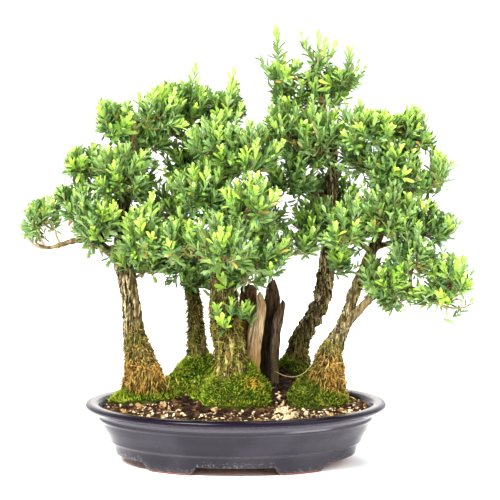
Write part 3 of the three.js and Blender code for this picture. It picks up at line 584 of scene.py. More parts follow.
# Around the right-hand cushion and out to the gap left of it the moss is painted duller and darker: partly
# its own olive, partly painted shade.
MOSS_DULL_SHADE_AT = (84, 6, 86)
MOSS_DULL_SHADE_REACH = 43
moss_stuff, shade = finish("moss")
tint = shade.read("tint")
top = shade.read("top")
patchy = shade.noise(55, 3)
colour = tint.ramp([
    (0.0, (0.012, 0.024, 0.001)), (0.3, (0.065, 0.125, 0.005)), (0.55, (0.19, 0.30, 0.012)),
    (0.8, (0.38, 0.48, 0.04)), (1.0, (0.60, 0.60, 0.13)),
])
olive = tint.mix((0.03, 0.035, 0.002), (0.36, 0.33, 0.04))
colour = (patchy.step(0.42, 0.62) * 0.6).mix(colour, olive)
# Duller, darker moss by the gap: partly the moss's own olive, partly painted shade.
colour = (shade.read("dull") * 0.55).mix(colour, tint.mix((0.012, 0.016, 0.002), (0.16, 0.15, 0.03)))
# Painted shade: the cushion's body and the foot of each shoot are darkened towards black, as shade deep in
# the pile, and the shoots' tips stay lit.
colour = ((1 - top) * 0.9).mix(colour, (0.012, 0.018, 0.001))
colour = shade.read("golden").mix(colour, tint.mix((0.42, 0.24, 0.03), (0.85, 0.62, 0.10)))
surface(shade, Base_Color=colour, Roughness=0.85, Specular_IOR_Level=0.15)
# The top values set the painted shade in the pile: 0.35 on the body and at the shoots' feet, 1 at their
# tips, which stay lit.
MOSS_BODY = {"tint": 0.2, "top": 0.35, "golden": 0.0, "dull": 0.0}
BLADE_PAINTED_LIGHT = [0.35, 0.35, 0.35, 1.0]
moss_random = np.random.default_rng(51)
for node, patches in MOSS_PATCHES.items():
    cushions, pile_places, pile_normals, buried = [], [], [], []
    for number, patch in enumerate(patches):
        seed = 1.7 * number + len(node)
        angle = np.linspace(0, 2 * pi, MOSS_SIDES, endpoint=False)[None, :]
        shares = np.linspace(1, MOSS_MIDDLE, MOSS_RINGS)[:, None]
        top_rings = moss_at(patch, shares * np.ones_like(angle), angle * np.ones_like(shares), seed)
        cushions.append(np.concatenate([top_rings[:1] - (0, 0, MOSS_SUNK), top_rings])[None])
        count = int(pi * patch["half"][0] * patch["half"][1] * MOSS_SHOOTS_PER_SQUARE)
        share = np.sqrt(moss_random.uniform(0, 1, count))
        turn = moss_random.uniform(0, 2 * pi, count)
        here = moss_at(patch, share, turn, seed)
        outward = moss_at(patch, share + SLOPE_STEP, turn, seed) - here
        round_it = moss_at(patch, share, turn + SLOPE_STEP, seed) - here
        pile_places.append(here)
        pile_normals.append(unit(np.cross(outward, round_it)))
        under = np.zeros(count, bool)
        for other in patches[:number] + patches[number + 1:]:
            above, covered = moss_over(other, here[:, 0], here[:, 1])
            under |= covered & (above > here[:, 2] + PILE_BURIED)
        buried.append(under)
    shown = ~np.concatenate(buried)
    places, normals = np.concatenate(pile_places)[shown], np.concatenate(pile_normals)[shown]
    count = len(places)
    lean = unit(normals + moss_random.normal(0, 0.42, normals.shape))
    length = MOSS_SHOOT_LENGTH * moss_random.uniform(0.6, 1.35, count)
    width = MOSS_SHOOT_WIDTH * moss_random.uniform(0.7, 1.3, count)
    pile_points, pile_faces = blades(places, lean, length, width, moss_random)
    body_points, body_faces = lofts(np.concatenate(cushions))
    start = len(body_points)
    flat_places = places * (1, 1, 0)
    # The shoots' tint follows the clumps: painted light on their tops and painted shade in the hollows
    # between them, with a random tone added.
    clump_light = 0.47 + 0.10 * moss_lumps(flat_places) / 1.6 + 0.10 * ripples(flat_places, 5, 33)
    pile = {"tint": np.clip(clump_light + moss_random.normal(0, 0.28, count), 0, 1)}
    from_gold = np.linalg.norm((places - MOSS_GOLD_AT) * (1, 1, 1.4), axis=1) / MOSS_GOLD_REACH
    pile["golden"] = (np.exp(-(from_gold**2)) * 1.3 > moss_random.uniform(0, 1, count)) * 0.85
    pile["dull"] = np.exp(-((np.linalg.norm(places - MOSS_DULL_SHADE_AT, axis=1) / MOSS_DULL_SHADE_REACH) ** 4))
    pile = {key: np.repeat(values, len(BLADE)) for key, values in pile.items()}
    pile["top"] = np.tile(BLADE_PAINTED_LIGHT, count)
    values = {key: np.concatenate([np.full(start, value), pile[key]]) for key, value in MOSS_BODY.items()}
    moss = mesh_object(
        node.replace("moss", "moss_cushion"), np.concatenate([body_points, pile_points]) * MM + pot_middle,
        body_faces + [pile_faces[0] + start], moss_stuff, **values,
    )
    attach(moss, "root")
    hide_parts(node)


# The chips and grains. Flat bark chips, dark and tan, and round cream grains of perlite lie
# loose on the soil where no moss covers it, with a heap of perlite in front, right of the
# middle, where it was poured between the moss cushions.
CHIP_COUNT = 3300
CHIP_SIZE = 3.3
CHIP_SIZE_LIMIT = 9
PERLITE_COUNT = 560
PERLITE_SIZE = 1.45
HEAP_COUNT = 105
HEAP_BACK = np.array([50, 2])
HEAP_FRONT = np.array([63, -88])
HOLLOW_AT = (56, 32)
HOLLOW_HALF = (24, 42)
SPECK_COUNT = 22
SPECKS_AT = (-32, 46)
SPECKS_SPREAD = (20, 18)
UP = np.array([0, 0, 1.0])
chip_random = np.random.default_rng(77)


def turned(count, random):
    """Random turns, one for each of count copies: three axes at right angles."""
    first = unit(random.normal(size=(count, 3)))
    second = unit(np.cross(first, random.normal(size=(count, 3))))
    return np.stack([first, second, np.cross(first, second)], axis=1)


def moss_cover(x, y, margin):
    """True where moss whose cushions are wider by a margin covers the soil."""
    return np.any([share_of(patch, x, y, margin) < 1 for patch in sum(MOSS_PATCHES.values(), [])], axis=0)


def bare_ground(count, random, nearest=0.0):
    """Random places on the soil that moss leaves bare."""
    angle = random.uniform(0, 2 * pi, count * 4)
    reach = (SOIL_REACH - 3) * np.sqrt(random.uniform(nearest, 1, count * 4))
    flat = oval(angle, reach)
    flat = flat[~moss_cover(flat[:, 0], flat[:, 1], -2.5)][:count]
    return np.column_stack([flat, ground(flat[:, 0], flat[:, 1])])


def in_shaded_hollow(places):
    """True in the dark hollow between the right-hand mounds: no perlite lies there, and chips get painted
    shade.
    """
    return np.hypot(*((places[:, :2] - HOLLOW_AT) / HOLLOW_HALF).T) < 1


CHIP = np.array([
    (-1, -0.8, -1), (0.9, -1, -1), (1, 0.7, -1), (-0.7, 1, -1),
    (-0.8, -0.9, 1), (1, -0.7, 0.8), (0.8, 1, 1), (-1, 0.8, 0.7),
]) / 2
CHIP_FACES = [np.array([(3, 2, 1, 0), (4, 5, 6, 7), (0, 1, 5, 4), (1, 2, 6, 5), (2, 3, 7, 6), (3, 0, 4, 7)])]
chip_places = bare_ground(CHIP_COUNT, chip_random)
count = len(chip_places)
chip_size = np.minimum(np.exp(chip_random.normal(np.log(CHIP_SIZE), 0.5, count)), CHIP_SIZE_LIMIT)
flat_turn = turned(count, chip_random)
flat_turn[:, 2] = unit(flat_turn[:, 2] * 0.55 + UP)
flat_turn[:, 0] = unit(np.cross(flat_turn[:, 1], flat_turn[:, 2]))
flat_turn[:, 1] = np.cross(flat_turn[:, 2], flat_turn[:, 0])
thick = chip_random.uniform(0.2, 0.5, count)
chip_scale = np.stack([chip_size * 1.35, chip_size * 0.8, chip_size * thick], axis=1)
chip_places[:, 2] += chip_random.uniform(-0.4, 1.6, count)
chip_points, chip_faces = strewn(CHIP, CHIP_FACES, flat_turn * chip_scale[..., None], chip_places)
bark_bits, shade = finish("bark_chips")
tone = shade.read("tone")
chip_grain = shade.noise(700, 3, (1, 1, 2))
colour = tone.ramp([
    (0.0, (0.008, 0.004, 0.003)), (0.3, (0.030, 0.015, 0.009)), (0.52, (0.085, 0.043, 0.018)),
    (0.72, (0.20, 0.11, 0.042)), (0.88, (0.40, 0.25, 0.10)), (1.0, (0.66, 0.50, 0.26)),
])
colour = (chip_grain.step(0.35, 0.65) * 0.4).mix(colour, (0.05, 0.028, 0.018))
relief = shade.bump(chip_grain, 0.001)
surface(shade, Base_Color=colour, Roughness=0.85, Specular_IOR_Level=0.2, Normal=relief)
# Chips in the hollow between the mounds are painted darker: painted shade.
chip_tone = np.clip(chip_random.beta(1.2, 1.9, count), 0, 1) * np.where(in_shaded_hollow(chip_places), 0.55, 1)
chips = mesh_object(
    "bark_chips", chip_points * MM + pot_middle, chip_faces, bark_bits, smooth=False,
    tone=np.repeat(chip_tone, len(CHIP)),
)
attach(chips, "root")

GOLDEN = (1 + 5**0.5) / 2
BALL = np.array([(0, a, b * GOLDEN) for a in (-1, 1) for b in (-1, 1)])
BALL = unit(np.concatenate([BALL, BALL[:, [2, 0, 1]], BALL[:, [1, 2, 0]]]))


def hull_faces(points):
    """Outward triangles of a ball of evenly spread points: every three that lie side by side."""
    faces = []
    spacing = min(np.linalg.norm(points - points[0], axis=1)[1:]) * 1.1
    for a, b, c in combinations(range(len(points)), 3):
        if max(np.linalg.norm(points[[a, b, c]] - points[[b, c, a]], axis=1)) < spacing:
            out = np.dot(np.cross(points[b] - points[a], points[c] - points[a]), points[a])
            faces.append((a, b, c) if out > 0 else (a, c, b))
    return [np.array(faces)]


BALL_FACES = hull_faces(BALL)
strewn_places = bare_ground(PERLITE_COUNT, chip_random, 0.25)
strewn_places = strewn_places[~in_shaded_hollow(strewn_places)]
forward = chip_random.uniform(0, 1, (HEAP_COUNT, 1)) ** 0.7
heap = HEAP_BACK + (HEAP_FRONT - HEAP_BACK) * forward
heap = heap + chip_random.normal(0, 1, (HEAP_COUNT, 2)) * (2.5 + 8 * forward)
heap = heap[~moss_cover(heap[:, 0], heap[:, 1], -9)]
heap_level = moss_level(heap[:, 0], heap[:, 1]) + chip_random.uniform(0, 2.5, len(heap))
specks = chip_random.normal(0, 1, (SPECK_COUNT, 2)) * SPECKS_SPREAD + SPECKS_AT
specks_level = moss_level(specks[:, 0], specks[:, 1]) + 2
perlite_places = np.concatenate([
    strewn_places, np.column_stack([heap, heap_level]), np.column_stack([specks, specks_level]),
])
count = len(perlite_places)
perlite_size = np.exp(chip_random.normal(np.log(PERLITE_SIZE), 0.36, count))
perlite_size[len(strewn_places): len(strewn_places) + len(heap)] *= 1.25
perlite_places[:, 2] += perlite_size * 0.5 + 0.6
squash = chip_random.uniform(0.35, 1.45, (count, 3))
perlite_axes = turned(count, chip_random) * (perlite_size[:, None] * squash)[..., None]
perlite_points, perlite_faces = strewn(BALL, BALL_FACES, perlite_axes, perlite_places)
perlite_points += 0.34 * np.stack([ripples(perlite_points, 2.5, seed) for seed in (61, 62, 63)], axis=-1)
grit, shade = finish("perlite")
pits = shade.noise(900, 3)
tone = shade.read("tone")
colour = tone.mix((0.74, 0.64, 0.44), (0.38, 0.24, 0.09))
colour = (1 - pits.step(0.3, 0.55)).mix(colour, (0.34, 0.25, 0.12))
surface(shade, Base_Color=colour, Roughness=0.9, Normal=shade.bump(pits, 0.0012))
perlite = mesh_object(
    "perlite_grains", perlite_points * MM + pot_middle, perlite_faces, grit, smooth=False,
    tone=np.repeat(chip_random.beta(1.0, 1.6, count), len(BALL)),
)
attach(perlite, "root")


# The trunks. Each tree is one piece of wood with fissured tan bark that moss and fine root
# hair cover low down, and its stems fork into boughs that rise to the leafy sprays. Each
# station of a stem is x, y, z and the radius.
TREES = {
    "left": {
        "stems": [
            [
                (-110, 25, 62, 26), (-110, 25, 88, 25), (-113, 25, 108, 21), (-119, 25, 132, 14),
                (-124, 25, 152, 11.5), (-126, 25, 178, 10.4), (-130, 25, 213, 10.4), (-136, 25, 236, 10.5),
                (-137, 24, 262, 8.5), (-133, 22, 312, 7), (-127, 20, 365, 5), (-118, 20, 405, 3),
            ],
            [
                (-134, 25, 228, 7), (-148, 24, 246, 6.2), (-172, 24, 262, 4.6), (-193, 25, 263, 3.6),
                (-211, 26, 256, 2.9), (-228, 26, 252, 2.4), (-240, 26, 259, 1.7),
            ],
        ],
        "moss_top": 76, "moss_share": 0.10, "fuzz_top": 150, "hair": 1.2, "gold": 0.86,
        "rough": 1.2, "ridged": 0.1,
    },
    "back_left": {
        "stems": [[
            (-46, 65, 62, 24), (-46, 65, 92, 19), (-47, 65, 112, 13.5), (-48, 65, 130, 11.5),
            (-49, 65, 160, 10), (-52, 65, 191, 8.8), (-64, 66, 225, 8), (-73, 67, 259, 7),
            (-74, 68, 308, 6), (-68, 70, 357, 5), (-50, 72, 395, 3.4),
        ]],
        "moss_top": 118, "moss_share": 0.25, "fuzz_top": 215, "hair": 0.8, "gold": 0.62,
        "rough": 1.0, "ridged": 0.2,
    },
    "centre": {
        "stems": [
            [
                (-2, -5, 60, 27), (-3, -5, 88, 25), (-4, -5, 106, 20), (-5, -5, 120, 17.5),
                (-8, -5, 142, 16.5), (-12, -5, 165, 17), (-14, -5, 184, 16), (-15, -5, 207, 16.5),
                (-16, -6, 228, 12.5), (-16, -8, 256, 9.5), (-16, -10, 300, 7.5), (-10, -14, 345, 4),
            ],
            [(-10, -6, 212, 8), (6, -10, 228, 6.5), (16, -18, 250, 5), (22, -26, 275, 3.5)],
        ],
        "moss_top": 108, "moss_share": 0.25, "fuzz_top": 200, "hair": 1.2, "gold": 0.66,
        "rough": 1.3, "ridged": 0.85,
    },
    "back_right": {
        "stems": [[
            (73, 70, 62, 26), (73, 70, 98, 20), (75, 70, 118, 14), (79, 70, 136, 12),
            (90, 70, 155, 11), (101, 70, 172, 10.5), (108, 70, 190, 10.2), (112, 70, 222, 9.6),
            (113, 69, 252, 9), (115, 66, 308, 8), (119, 62, 366, 6.5), (106, 62, 415, 4.6),
            (98, 64, 460, 3),
        ]],
        "moss_top": 112, "moss_share": 0.12, "fuzz_top": 135, "hair": 0.6, "gold": 0.66,
        "rough": 2.3, "ridged": 0.5,
    },
    "right": {
        "stems": [
            [
                (109, 12, 62, 25), (109, 12, 84, 20.5), (109, 12, 101, 18.5), (111, 12, 119, 16),
                (113.5, 12, 131, 13), (120, 12, 143, 10.5), (127, 12, 156, 8.8), (133, 12, 174, 7.4),
                (139, 12, 192, 7.2), (146, 12, 209, 7.2), (161, 12, 246, 6.6), (176, 12, 284, 6.2),
                (186, 14, 330, 5), (186, 18, 372, 3),
            ],
            [
                (122, 12, 150, 7), (134, 8, 165, 6.2), (146, 5, 179, 5.8), (166, 0, 202, 5.6),
                (186, -8, 210, 5), (212, -22, 208, 4), (234, -34, 202, 3), (248, -44, 210, 2.4),
            ],
        ],
        "moss_top": 78, "moss_share": 0.10, "fuzz_top": 132, "hair": 1.05, "gold": 0.80,
        "rough": 1.2, "ridged": 0.1,
    },
}
STEM_STEP = 2.0
FINE_BARK_TOP = 265
TRUNK_SIDES = 62
LIMB_SIDES = 24
BOUGH_SIDES = 10
BOUGH_RISE = 0.35
TWIG_RADIUS = 1.5


def smooth_path(stations, step):
    """Points and radii at even steps along stations, with the corners of both rounded."""
    stations = rounded(stations, 3)
    gaps = np.linalg.norm(np.diff(stations[:, :3], axis=0), axis=1)
    length = np.concatenate([[0], np.cumsum(gaps)])
    at = np.linspace(0, length[-1], max(4, int(length[-1] / step)))
    return np.stack([np.interp(at, length, stations[:, k]) for k in range(4)], axis=-1)


def tube_grids(paths, radii, sides):
    """Rings of points round many paths at once (tubes, stations, 3), each ring square to its
    path and turned as little as possible from the ring before it. Also gives the outward unit
    vectors."""
    along = unit(np.gradient(paths, axis=1))
    helper = np.where(np.abs(along[:, :1, 2:]) > 0.8, [1.0, 0.0, 0.0], [0.0, 0.0, 1.0])
    across = unit(np.cross(along[:, 0], helper[:, 0]))
    acrosses = []
    for station in range(paths.shape[1]):
        tangent = along[:, station]
        across = unit(across - tangent * np.sum(across * tangent, axis=-1, keepdims=True))
        acrosses.append(across)
    across = np.stack(acrosses, axis=1)[:, :, None]
    up = np.cross(along[:, :, None], across)
    angle = np.linspace(0, 2 * pi, sides, endpoint=False)[None, None, :, None]
    outward = across * np.cos(angle) + up * np.sin(angle)
    return paths[:, :, None] + outward * radii[..., None, None], outward


def bough_of(stems, goal):
    """Path from the best place on the stems to a spray: it leaves where it can rise gently."""
    best = None
    for stem in stems:
        later = stem[int(len(stem) * 0.35):]
        flat = np.hypot(later[:, 0] - goal[0], later[:, 1] - goal[1])
        cost = np.abs(later[:, 2] - (goal[2] - 6 - BOUGH_RISE * flat)) + 0.6 * flat
        k = int(cost.argmin())
        if best is None or cost[k] < best[0]:
            best = (cost[k], later[k], flat[k])
    _, start, flat = best
    radius = min(start[3] * 0.75, TWIG_RADIUS + 0.028 * flat)
    middle = (start[:3] + goal) / 2
    middle[2] -= 0.06 * flat
    return np.array([
        [*start[:3], radius * 1.25], [*middle, (radius + TWIG_RADIUS) / 2], [*goal, TWIG_RADIUS],
    ])


def stem_bark(stem, sides, tree, seed):
    """Bark of one stem: rings whose radius waves slowly round and up the stem, spreads in ribs
    at its foot, is raised in plates, and is cut by fissures where a random field stretched along
    the stem is near zero. Also gives the outward directions and the bark's values."""
    grid, outward = tube_grids(stem[None, :, :3], stem[None, :, 3], sides)
    angle = np.linspace(0, 2 * pi, sides, endpoint=False)[None, :]
    up, radius = stem[:, 2:3], stem[:, 3:4]
    flutes = 0.06 * np.sin(2 * angle + up / 41 + seed) + 0.045 * np.sin(3 * angle - up / 29 + 2 * seed)
    flutes = flutes + 0.03 * np.sin(5 * angle + up / 17 + 3 * seed)
    ribs = 0.10 * np.sin(5 * angle + seed) + 0.06 * np.sin(8 * angle)
    flare = np.clip((125 - up) / 60, 0, 1) ** 1.5 * ribs
    stretched = grid[0] * np.array([1, 1, 0.17])
    plates = ripples(stretched, 6.5, seed + 500)
    fissures = np.clip(1 - np.abs(ripples(stretched, 9, seed + 600)) * 1.9, 0, 1)
    rough = 0.75 * plates - 1.5 * fissures + 0.45 * ripples(grid[0], 3.5, seed + 700)
    rough *= tree["rough"] * np.clip(radius / 9, 0.25, 1)
    grid = grid + outward * (radius * (flutes + flare) + rough)[None, ..., None]
    cover = np.clip((tree["moss_top"] - grid[0, ..., 2]) / 55, 0, 1) * 0.75 + tree["moss_share"] * 0.55
    return grid, outward, {
        "mossy": cover + 0.22 * ripples(grid[0], 30, seed + 800),
        "groove": fissures * min(1, 1 / tree["rough"]),
        "fuzzy": fuzz_at(tree, up),
        "slim": np.clip((7.5 - radius) / 3, 0, 1),
        "ridged": tree["ridged"],
    }


def fuzz_at(tree, height):
    """Share of root hair at a height: full well below the tree's fuzz top, and hardly any above."""
    return 0.04 + 0.96 * np.clip((tree["fuzz_top"] - height) / 36 + 0.5, 0, 1)


def stem_hair(stem, grid, outward, tree, seed, count, random):
    """Feet, directions, tones and sizes of the hairs of one stem. Each grows between four points
    of the bark's grid, more of them where the stem is thick and fuzzy, and lies on the bark in a
    random direction that tends down, with some lift."""
    weight = np.where(stem[:-1, 2] < 262, stem[:-1, 3] * fuzz_at(tree, stem[:-1, 2]), 0.001)
    ring = random.choice(len(stem) - 1, count, p=weight / weight.sum())
    side = random.integers(0, grid.shape[2], count)
    blend = random.uniform(0, 1, (count, 1))
    out = outward[0, ring, side]
    here, beside = grid[0, ring, side], grid[0, ring, (side + 1) % grid.shape[2]]
    foot = here * blend + beside * (1 - blend) - out * 0.4
    foot = foot + (grid[0, ring + 1, side] - here) * random.uniform(0, 1, (count, 1))
    lying = random.normal(0, 1, (count, 3)) - (0, 0, 0.8)
    lying = unit(lying - out * np.sum(lying * out, axis=1, keepdims=True))
    along = unit(lying + out * random.uniform(0.15, 1.2, (count, 1)))
    low = np.clip((tree["moss_top"] + 14 - foot[:, 2]) / 22, 0, 1)
    tone = tree["gold"] * (0.66 + 0.42 * np.clip((132 - foot[:, 2]) / 30, 0, 1)) * (1 - 0.8 * low)
    tone = tone + random.normal(0, 0.2, count) + ripples(foot, 22, seed + 900) * tree["gold"] * 0.14
    return foot, along, np.clip(tone, 0, 1), np.where(random.uniform(0, 1, count) < 0.05, 1.6, 1)


HAIR_FACES = [
    np.array([(0, 1, 4, 3), (1, 2, 5, 4), (2, 0, 3, 5)]),
    np.array([(0, 2, 1), (3, 4, 6), (4, 5, 6), (5, 3, 6)]),
]
HAIR_POINTS = 7


def hairs(places, along, length, width, random):
    """Three-sided hairs that leave their places along directions and curl down and sideways."""
    side = unit(np.cross(along, random.normal(size=along.shape)))
    other = np.cross(along, side)
    ring = np.stack([side, -0.5 * side + 0.87 * other, -0.5 * side - 0.87 * other], axis=1)
    ring *= (width / 2)[:, None, None]
    middle = places + along * (length * 0.5)[:, None]
    curl = unit(along + random.normal(0, 0.35, along.shape) - (0, 0, 0.7))
    tip = middle + curl * (length * 0.5)[:, None]
    points = np.concatenate([places[:, None] + ring, middle[:, None] + 0.85 * ring, tip[:, None]], axis=1)
    return points.reshape(-1, 3), copied(HAIR_FACES, len(places), HAIR_POINTS)


bark, shade = finish("bark")
mossy = shade.read("mossy")
groove = shade.read("groove")
fibres = shade.noise(420, 4, (1, 1, 0.2), 0.7)
flakes = shade.noise(140, 3, (1, 1, 0.35))
colour = fibres.step(0.46, 0.58).mix((0.028, 0.018, 0.005), (0.66, 0.54, 0.31))
colour = (flakes.step(0.47, 0.57) * 0.7).mix(colour, (0.12, 0.08, 0.022))
colour = (shade.noise(60, 3).step(0.5, 0.66) * 0.5).mix(colour, (0.15, 0.15, 0.02))
# Painted shade: the bark's fissures are darkened nearly to black.
colour = (groove * 0.95).mix(colour, (0.014, 0.009, 0.003))
# Painted shade under the root hair: where hair grows, the bark between the hairs is darkened to a near-black
# brown.
hair_shade = fibres.step(0.4, 0.6).mix((0.012, 0.009, 0.002), (0.07, 0.055, 0.010))
colour = (shade.read("fuzzy") * 0.8).mix(colour, hair_shade)
smooth = flakes.step(0.38, 0.62).mix((0.10, 0.07, 0.028), (0.36, 0.27, 0.13))
colour = (shade.read("slim") * 0.9).mix(colour, smooth)
green = fibres.step(0.38, 0.62).mix((0.018, 0.028, 0.002), (0.20, 0.24, 0.025))
colour = (mossy + (flakes - 0.5) * 0.8).step(0.3, 0.7).mix(colour, green)
ridges = shade.noise(200, 3, (1, 1, 0.12)).step(0.53, 0.6) * (1 - shade.height().step(0.13, 0.17))
colour = (ridges * shade.read("ridged")).mix(colour, (0.62, 0.54, 0.20))
relief = shade.bump(fibres + flakes * 0.6, 0.0045)
surface(shade, Base_Color=colour, Roughness=0.88, Specular_IOR_Level=0.2, Normal=relief)

fuzz_stuff, shade = finish("root_hair")
colour = shade.read("tone").ramp([
    (0.0, (0.03, 0.05, 0.003)), (0.2, (0.12, 0.16, 0.010)), (0.45, (0.33, 0.30, 0.05)),
    (0.7, (0.52, 0.39, 0.12)), (1.0, (0.62, 0.33, 0.075)),
])
colour = (shade.read("dim") * 0.95).mix(colour, (0.022, 0.016, 0.004))
surface(shade, Base_Color=colour, Roughness=0.85, Specular_IOR_Level=0.2)

EXTRA_SPRAYS = {
    "left": [
        {"at": (-103, 35, 380), "half": (24, 22, 19)}, {"at": (-103, 20, 229), "half": (28, 22, 17)},
        {"at": (-123, 25, 317), "half": (15, 15, 15)}, {"at": (-174, 18, 264), "half": (20, 17, 12)},
    ],
    "back_left": [
        {"at": (-86, 62, 396), "half": (21, 20, 18)}, {"at": (-50, 50, 208), "half": (24, 20, 12)},
    ],
    "centre": [
        {"at": (82, 0, 255), "half": (19, 18, 15)}, {"at": (15, -18, 222), "half": (19, 16, 15)},
    ],
    "back_right": [
        {"at": (59, 62, 430), "half": (26, 24, 20)}, {"at": (108, 62, 430), "half": (28, 24, 20)},
        {"at": (126, 45, 231), "half": (15, 14, 14)},
    ],
    "right": [
        {"at": (144, 30, 358), "half": (18, 20, 25)}, {"at": (189, -15, 198), "half": (19, 18, 17)},
        {"at": (241, -32, 197), "half": (14, 14, 11)},
    ],
}
TUFTS = {
    "left": {"at": (-107, 0, 100), "spread": (10, 2.5, 8), "count": 520},
    "right": {"at": (117, -5, 98), "spread": (7, 2.5, 12), "count": 300},
}
TRUNK_HAIRS = 2750
LIMB_HAIRS = 12
BOUGH_BARK = {"mossy": 0.2, "groove": 0.1, "fuzzy": 0.1, "slim": 1.0}
AIRY_SPRAYS = ("peak", "tip", "outer", "crown")
boughs_of = {}
sprays_of = {}
spray_nodes = {}
for tree_number, (name, tree) in enumerate(TREES.items()):
    sprays_of[name] = [
        {"at": np.array(spray["at"], float), "half": np.array(spray["half"], float), "airy": True}
        for spray in EXTRA_SPRAYS[name]
    ]
    spray_nodes[name] = sorted(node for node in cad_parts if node.startswith(f"foliage_{name}_"))
    for node in spray_nodes[name]:
        low, high = (np.array(corner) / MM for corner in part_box(node))
        sprays_of[name].append({
            "at": (low + high) / 2 - pot_middle / MM, "half": (high - low) / 2,
            "airy": any(word in node for word in AIRY_SPRAYS),
        })
    stems = [smooth_path(stem, STEM_STEP) for stem in tree["stems"]]
    random = np.random.default_rng(300 + tree_number)
    bodies, hair = [], []
    for number, stem in enumerate(stems):
        keep = (stem[:, 2] < FINE_BARK_TOP) | (np.arange(len(stem)) % 3 == 0)
        keep[-1] = True
        stem = stem[keep]
        seed = 10 * tree_number + number
        grid, outward, values = stem_bark(stem, LIMB_SIDES if number else TRUNK_SIDES, tree, seed)
        bodies.append((grid, values))
        count = int(tree["hair"] * (LIMB_HAIRS if number else TRUNK_HAIRS))
        hair.append(stem_hair(stem, grid, outward, tree, seed, count, random))
    if name in TUFTS:
        count = TUFTS[name]["count"]
        foot = random.normal(0, 1, (count, 3)) * TUFTS[name]["spread"] + TUFTS[name]["at"]
        foot[:, 2] = np.maximum(foot[:, 2], moss_level(foot[:, 0], foot[:, 1]) + 1)
        along = unit(random.normal(0, 0.45, foot.shape) + (0, -0.6, -0.5))
        hair.append((foot, along, np.clip(random.normal(0.85, 0.16, count), 0, 1), np.full(count, 1.9)))
    boughs_of[name] = np.stack([rounded(bough_of(stems, spray["at"]), 2) for spray in sprays_of[name]])
    grid, outward = tube_grids(boughs_of[name][..., :3], boughs_of[name][..., 3], BOUGH_SIDES)
    grid = grid + outward * (0.35 * ripples(grid, 7, 41 + tree_number))[..., None]
    bodies.append((grid, {**BOUGH_BARK, "ridged": tree["ridged"]}))
    trunk = lofted(f"trunk_{name}", bodies, bark)
    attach(trunk, "root")
    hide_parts(f"wood_{name}")
    foot, along, tone, size = (np.concatenate(found) for found in zip(*hair))
    length = random.uniform(4.0, 9.5, len(foot)) * size
    width = random.uniform(0.6, 1.2, len(foot)) * size**0.5
    points, faces = hairs(foot, along, length, width, random)
    dim = random.uniform(0, 1, len(foot)) ** 1.6
    hair = mesh_object(
        f"root_hair_{name}", points * MM + pot_middle, faces, fuzz_stuff,
        tone=np.repeat(tone, HAIR_POINTS), dim=np.repeat(dim, HAIR_POINTS),
    )
    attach(hair, "root")


# The stump slabs. Four upright slabs of old split wood stand in the root ball between the
# trees, each with long grain, ragged tops and its own weathering. Each station of a slab is
# x, y, z and half its width and depth.
SLABS = {
    "stump_dark_slab": {
        "sections": [
            (14, 31, 78, 12, 6), (14, 30, 120, 12, 6.5), (14, 29, 165, 11.5, 6), (15, 29, 190, 11, 5),
            (16, 29, 206, 9.5, 4),
        ],
        "dark": (0.030, 0.016, 0.007), "pale": (0.13, 0.072, 0.034), "warm": (0.20, 0.10, 0.04),
        "foot": (0.04, 0.035, 0.012),
    },
    "stump_tan_slab": {
        "sections": [
            (20, 18, 84, 8, 4.5), (20.5, 17, 124, 8.5, 4.5), (23, 15, 155, 9.8, 4.5),
            (28, 15, 178, 7.5, 3.8), (29.6, 15, 191, 5.4, 3), (27, 15, 199, 2.5, 2),
        ],
        "dark": (0.26, 0.17, 0.08), "pale": (0.62, 0.49, 0.30), "warm": (0.40, 0.26, 0.12),
        "foot": (0.34, 0.15, 0.035),
    },
    "stump_tall_slab": {
        "sections": [
            (39.5, 36, 78, 12.8, 6), (39.6, 36, 120, 12.6, 6.5), (42, 35, 160, 11.5, 6),
            (43.8, 35, 188, 10.5, 5), (43.6, 35, 204, 6.8, 3.5), (43.4, 35, 213, 3, 2),
        ],
        "dark": (0.014, 0.009, 0.005), "pale": (0.065, 0.042, 0.024), "warm": (0.10, 0.06, 0.03),
        "foot": (0.03, 0.025, 0.010),
    },
    "stump_side_slab": {
        "sections": [
            (46.5, 21, 80, 4, 3.5), (47, 21, 124, 4, 3.5), (47.5, 21, 150, 5, 3.5), (51, 21, 168, 6.2, 3),
            (55, 21, 180, 4, 2.5), (58, 22, 189, 1.8, 1.5),
        ],
        "dark": (0.035, 0.023, 0.013), "pale": (0.17, 0.125, 0.078), "warm": (0.10, 0.065, 0.035),
        "foot": (0.05, 0.04, 0.015),
    },
}
SLAB_RINGS = 60
SLAB_SIDES = 48
RAGGED_LENGTH = 26
